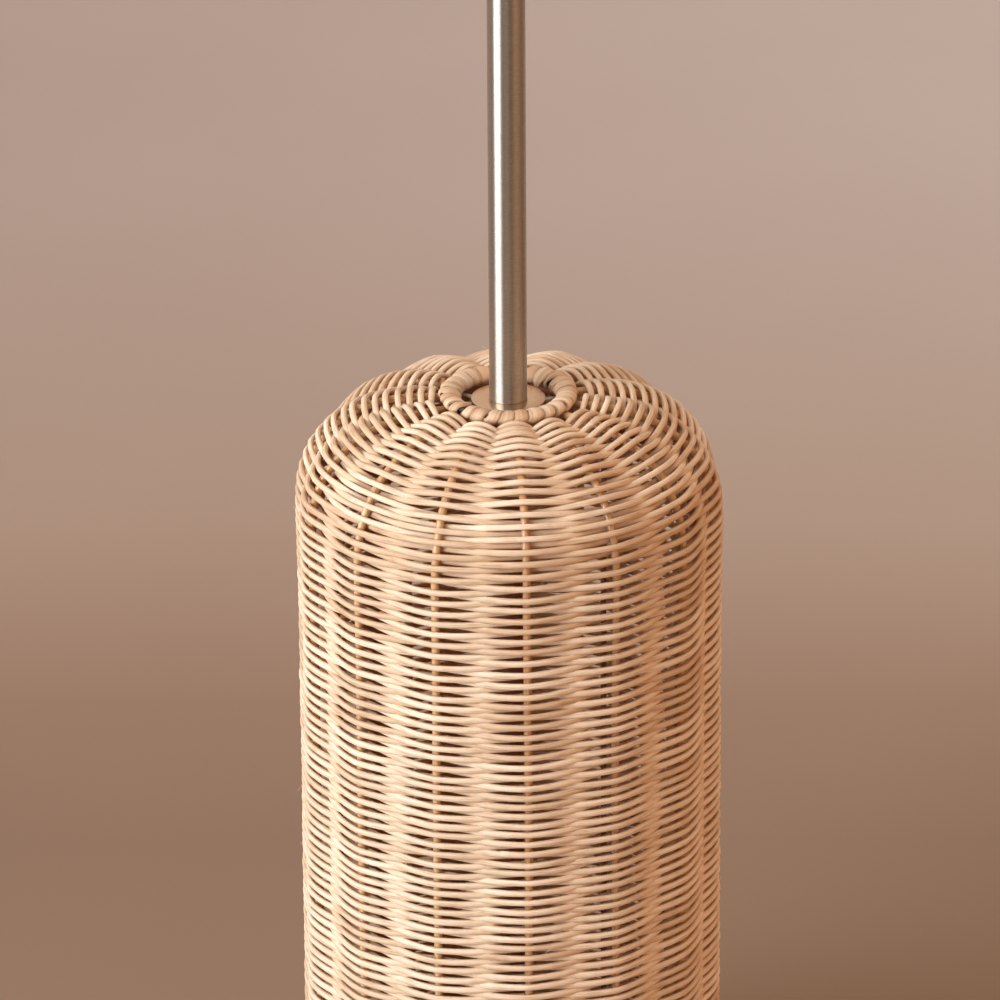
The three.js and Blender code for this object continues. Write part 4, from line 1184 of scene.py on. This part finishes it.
globe_radius, globe_low, globe_high = round_size("bulb_globe")
globe_middle = globe_high - globe_radius
neck = math.asin(min(1, (globe_middle - globe_low) / globe_radius)) * 0.62
outer = arc(0, globe_middle, globe_radius, -neck, math.pi / 2, 20)
inner = arc(0, globe_middle, globe_radius - GLASS, math.pi / 2, -neck, 20)
globe_profile = [(0, globe_high - GLASS), *inner[1:], *in_mm(globe_low, (18.6, 0), (19.8, 0)),
                 *outer[:-1], (0, globe_high)]
turned_piece("bulb_globe_blown", globe_profile, opal, "bulb_globe", "bulb", steps=72, edge=0)
print("bulb from", round(cap_low, 4), "to", round(globe_high, 4))

# %% [markdown]
# The shade is linen laminated on a stiff white film, rolled into a slightly tapered drum. Linen is a plain
# weave of uneven threads: thick slubs run along both ways. The pattern needs coordinates that go round the
# drum, so the skin gets a UV map in metres. The drum's inner faces take the finish of the film.

# %% shade drum
SHADE_TAPER = 20 * MM
SKIN = 1 * MM


def round_uv(mesh, radius):
    """UVs in metres: round the axis along U, height along V. A face that crosses the seam stays whole."""
    co = np.zeros(len(mesh.vertices) * 3)
    mesh.vertices.foreach_get("co", co)
    co = co.reshape(-1, 3)[loop_vertices(mesh)]
    turn = np.arctan2(co[:, 1], co[:, 0])
    for polygon in mesh.polygons:
        corners = slice(polygon.loop_start, polygon.loop_start + polygon.loop_total)
        part = turn[corners]
        if part.max() - part.min() > math.pi:
            turn[corners] = np.where(part < 0, part + 2 * math.pi, part)
    layer = mesh.uv_layers.new(name="UVMap")
    layer.data.foreach_set("uv", np.stack([turn * radius, co[:, 2]], 1).astype(np.float32).ravel())


def linen_finish():
    material, tree, shader = new_finish("linen", Roughness=0.88, Sheen_Weight=0.15)
    warp = streaks(tree, (1700, 45, 1), 3.0, 0.6)
    weft = streaks(tree, (45, 1700, 1), 3.0, 0.6)
    cloth = calculated(tree, "MULTIPLY", calculated(tree, "ADD", warp, weft), 0.5)
    tone = ramp(tree, cloth, (0.36, (0.54, 0.47, 0.38)), (0.5, (0.68, 0.62, 0.53)),
                (0.64, (0.76, 0.71, 0.63)))
    slubs = ramp(tree, streaks(tree, (12, 420, 1), 2.0), (0.6, WHITE), (0.72, (0.86, 0.82, 0.76)))
    feed(tree, shader.inputs["Base Color"], multiplied(tree, tone, slubs))
    bump(tree, shader, cloth, 0.6, 0.3 * MM)
    return material


linen = linen_finish()
lining = moulded("shade_lining", (0.85, 0.84, 0.81), 0.5, scale=400)
bottom_radius, shade_low, shade_high = round_size("shade_skin")
top_radius = bottom_radius - SHADE_TAPER
skin_profile = [(bottom_radius - SKIN, shade_low), (bottom_radius, shade_low), (top_radius, shade_high),
                (top_radius - SKIN, shade_high)]
drum = turned_piece("shade_drum", skin_profile, linen, "shade_skin", "shade", steps=180, edge=0.25 * MM)
drum.data.materials.append(lining)
round_uv(drum.data, (bottom_radius + top_radius) / 2)
for face in drum.data.polygons:
    towards_axis = -face.normal.xy.dot(face.center.xy)
    face.material_index = 1 if towards_axis > 0.001 * face.center.xy.length else 0
print("shade from", round(shade_low, 4), "to", round(shade_high, 4))

# %% [markdown]
# At each end the linen is folded over a wire ring and glued down inside: a narrow band, a little proud of the
# drum on both sides. Its profile follows the drum's taper.

# %% folded edges and end wires
FOLD = 9 * MM
LIP = 0.4 * MM
END_WIRE = 1.6 * MM


def shade_radius(level):
    return bottom_radius + (top_radius - bottom_radius) * (level - shade_low) / (shade_high - shade_low)


def folded_edge(name, z, inward):
    """The fold at height z. Inward is 1 at the bottom of the drum and -1 at its top."""
    far = z + inward * FOLD
    lip = z + inward * LIP
    far_radius = shade_radius(far)
    radius = shade_radius(z)
    profile = [(far_radius - SKIN - 0.35 * MM, far), (radius - SKIN - 0.45 * MM, lip),
               (radius - 0.5 * MM, z - inward * 0.3 * MM), (radius + 0.3 * MM, lip),
               (far_radius + 0.25 * MM, far), (far_radius + 0.02 * MM, far), (far_radius - SKIN, far)]
    mesh = mesh_of(spun(profile, 180, 0.08 * MM), name)
    round_uv(mesh, radius)
    finished(name, mesh, linen, "shade")


folded_edge("shade_fold_bottom", shade_low, 1)
folded_edge("shade_fold_top", shade_high, -1)
for name in ("shade_bottom_wire", "shade_top_wire"):
    wire_radius, low, high = round_size(name)
    wire = ring_wire(wire_radius - END_WIRE, END_WIRE, (low + high) / 2)
    finished(name + "_round", mesh_of(wire, name + "_round"), white_enamel, "shade", [name])
print("folds", round(FOLD / MM, 1), "mm wide")

# %% [markdown]
# Three bent wires carry the drum on a flat fitter that sits on the lampholder's flange. Each arm leaves the
# fitter level and bends down to the lower wire. The bend is a short curve between two straight runs.

# %% spider
FITTER_BORE = 19.5 * MM
FITTER_RADIUS = 28 * MM
FITTER = 2 * MM
ARM = 1.6 * MM
ARM_START = 27 * MM
ARM_REACH = 194.6 * MM
ARM_ANGLES = np.radians([30, 150, 270])
BEND_AT = 27.4 * MM + 0.2 * (ARM_REACH - 27.4 * MM)
BEND = 8 * MM

fitter_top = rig.box("shade_spider")[1][2]
fitter_profile = pipe(FITTER_BORE, FITTER_RADIUS, fitter_top - FITTER, fitter_top)
turned_piece("spider_fitter", fitter_profile, white_enamel, "shade_spider", "shade")
arm_height = fitter_top - ARM
t = np.linspace(0, 1, 9)[:, None]
level, corner, drooping = np.array([[BEND_AT - BEND, arm_height], [BEND_AT, arm_height],
                                    [BEND_AT + BEND, arm_height - 1.5 * MM]])
bend = (1 - t) ** 2 * level + 2 * t * (1 - t) * corner + t ** 2 * drooping
arm = np.vstack([[[ARM_START, arm_height]], bend, [[ARM_REACH, shade_low + 2.4 * MM]]])
arms = [placed(arm[:, 0], angle, arm[:, 1]) for angle in ARM_ANGLES]
arm_mesh = tubes("spider_arms", arms, [ARM] * len(arms), 4)
finished("spider_arms", arm_mesh, white_enamel, "shade", ["shade_spider"])
print("arms", len(arms))

# %% [markdown]
# The foot is plain: a black cast weight with a rough skin, rubber pads, and a rubber bush in the cord's
# channel. These and the hidden steel keep their imported shapes and get their finishes here, zinc where the
# list names none. The hoop inside the rim's wrapping is dark, because it shows only in the shade of the gaps.

# %% carried-over pieces
# The lacquer on the column, ribs and foot ring is partly painted shade for the gaps in the weave.
finishes = {"inner_column": lacquer_and_painted_shade, "frame_foot_ring": lacquer_and_painted_shade, "frame_rib": lacquer_and_painted_shade,
            "frame_hub": white_enamel, "foot_weight": cast_iron, "foot_pad": rubber, "cord_grommet": rubber,
            "rim_hoop": shaded_cane, "switch_body": black_plastic, "holder_insulator": porcelain,
            "centre_contact": brass, "screw_shell": brass}
shown = [name for name, holder in frame["nodes"].items() if not holder.hide_render]
for name in shown:
    for slot in frame["nodes"][name].material_slots:
        slot.material = finishes.get(name.rstrip("_0123456789"), zinc)
print("finishes set on", len(shown), "carried-over nodes")

# %% [markdown]
# The scene's floor is plain and matt. It takes the colours that the photograph has at the same heights of the
# picture: brown in front, and paler into the distance, with a faint mottle so that it isn't a flat colour.

# %% floor
def floor_finish():
    material, tree, shader = new_finish("floor_paint", Roughness=0.8)
    axes = node(tree, "ShaderNodeSeparateXYZ")
    feed(tree, axes.inputs[0], coordinates(tree))
    distance = spread(tree, axes.outputs["Y"], 0.0, 1.0, start=0.1, end=2.2)
    aside = spread(tree, axes.outputs["X"], 0.0, 1.0, start=-0.2, end=0.5)
    # The ramp with distance is partly the floor's own tone and partly painted light: the far floor is made paler to
    # make up for the little light that the lamps give there.
    tone = ramp(tree, distance, (0.0, (0.314, 0.213, 0.148)), (0.16, (0.29, 0.2, 0.145)),
                (0.26, (0.342, 0.237, 0.177)), (0.4, (0.462, 0.365, 0.305)), (0.72, (0.569, 0.498, 0.477)),
                (1.0, (0.62, 0.56, 0.54)))
    # Painted light: the floor is made paler towards the right, which also lifts the lamp's shadow there.
    painted_light_right = ramp(tree, aside, (0.0, (0.92, 0.88, 0.86)), (1.0, WHITE))
    mottle = ramp(tree, noise(tree, coordinates(tree), 2.5), (0.3, (0.96, 0.96, 0.96)), (0.7, WHITE))
    feed(tree, shader.inputs["Base Color"], multiplied(tree, tone, painted_light_right, mottle))
    return material


floor_bm = bmesh.new()
bmesh.ops.create_grid(floor_bm, x_segments=1, y_segments=1, size=12)
floor_mesh = bpy.data.meshes.new("floor")
floor_bm.to_mesh(floor_mesh)
floor_bm.free()
floor_mesh.materials.append(floor_finish())
floor = bpy.data.objects.new("floor", floor_mesh)
bpy.context.scene.collection.objects.link(floor)
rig.stage(floor)
print("floor", floor.dimensions.x, "m wide")

# %% [markdown]
# The light is soft: a wide window at the left, which also gives the pole its pale stripe, a ceiling, a warm
# filler at the right, and a light at the back for the far side. Only the window shows in the metal. Its
# narrow spread keeps the light on the lamp and off the floor around it.

# %% lamps
def soft_box(name, place, target, size, power, colour, mirrored=False):
    light = bpy.data.lights.new(name, "AREA")
    light.shape = "RECTANGLE"
    light.size, light.size_y = size
    light.energy = power
    light.color = colour
    holder = bpy.data.objects.new(name, light)
    holder.location = place
    holder.rotation_euler = (Vector(target) - Vector(place)).to_track_quat("-Z", "Y").to_euler()
    holder.visible_camera = False
    holder.visible_glossy = mirrored
    bpy.context.scene.collection.objects.link(holder)
    return light


window = soft_box("window", (-2.2, -1.45, 1.3), (0, 0, 0.5), (2.0, 2.1), 27, (0.92, 0.965, 1.0), True)
window.spread = math.radians(85)
soft_box("ceiling", (-0.6, -0.5, 3.4), (0, 0, 0.4), (2.0, 2.0), 20, (1.0, 0.97, 0.93))
soft_box("filler", (2.6, -1.3, 1.0), (0, 0, 0.5), (2.4, 2.0), 19, (1.0, 0.53, 0.27))
soft_box("back_light", (1.2, 2.8, 2.2), (0, 0, 0.6), (2.0, 2.0), 20, (1.0, 0.96, 0.92))
print("lamps", len(bpy.data.lights))

# %% [markdown]
# The pole and the disc mirror the room, so the room matters as much as the lamps. It is warm, and its tone
# changes with the direction: the ramp below runs once round the horizon, from the back over the left, the
# front and the right to the back again. Its dark stretches make the dark stripes along the pole.

# %% room
ROOM_STRENGTH = 0.7
BEHIND = (1.0, 0.72, 0.53)

world = bpy.data.worlds.new("room")
world.use_nodes = True
room = world.node_tree
axes = node(room, "ShaderNodeSeparateXYZ")
feed(room, axes.inputs[0], node(room, "ShaderNodeTexCoord").outputs["Generated"])
front = calculated(room, "MULTIPLY", axes.outputs["Y"], -1.0)
turn = calculated(room, "ARCTAN2", axes.outputs["X"], front)
share = calculated(room, "MULTIPLY_ADD", turn, 0.5 / math.pi, 0.5)
walls = ramp(room, share, (0.0, BEHIND), (0.22, (0.8, 0.7, 0.62)), (0.4, (0.4, 0.34, 0.29)),
             (0.5, (0.84, 0.73, 0.63)), (0.58, (0.22, 0.17, 0.135)), (0.66, (1.25, 0.77, 0.47)),
             (0.8, (0.4, 0.23, 0.14)), (0.96, (0.66, 0.45, 0.32)), (1.0, BEHIND))
background = room.nodes["Background"]
feed(room, background.inputs["Color"], walls)
feed(room, background.inputs["Strength"], ROOM_STRENGTH)
bpy.context.scene.world = world
bpy.context.scene.view_settings.view_transform = "Standard"
print("room strength", ROOM_STRENGTH)

# %% [markdown]
# Last, the box of the dressed lamp is kept beside the frame's, to see that the looks don't outgrow the model.

# %% sizes and finish
json.dump({"cad": [list(map(float, corner)) for corner in cad_box], "visual": [list(map(float, corner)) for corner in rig.bounds()]},
          open("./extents.json", "w"))
print(open("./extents.json").read())
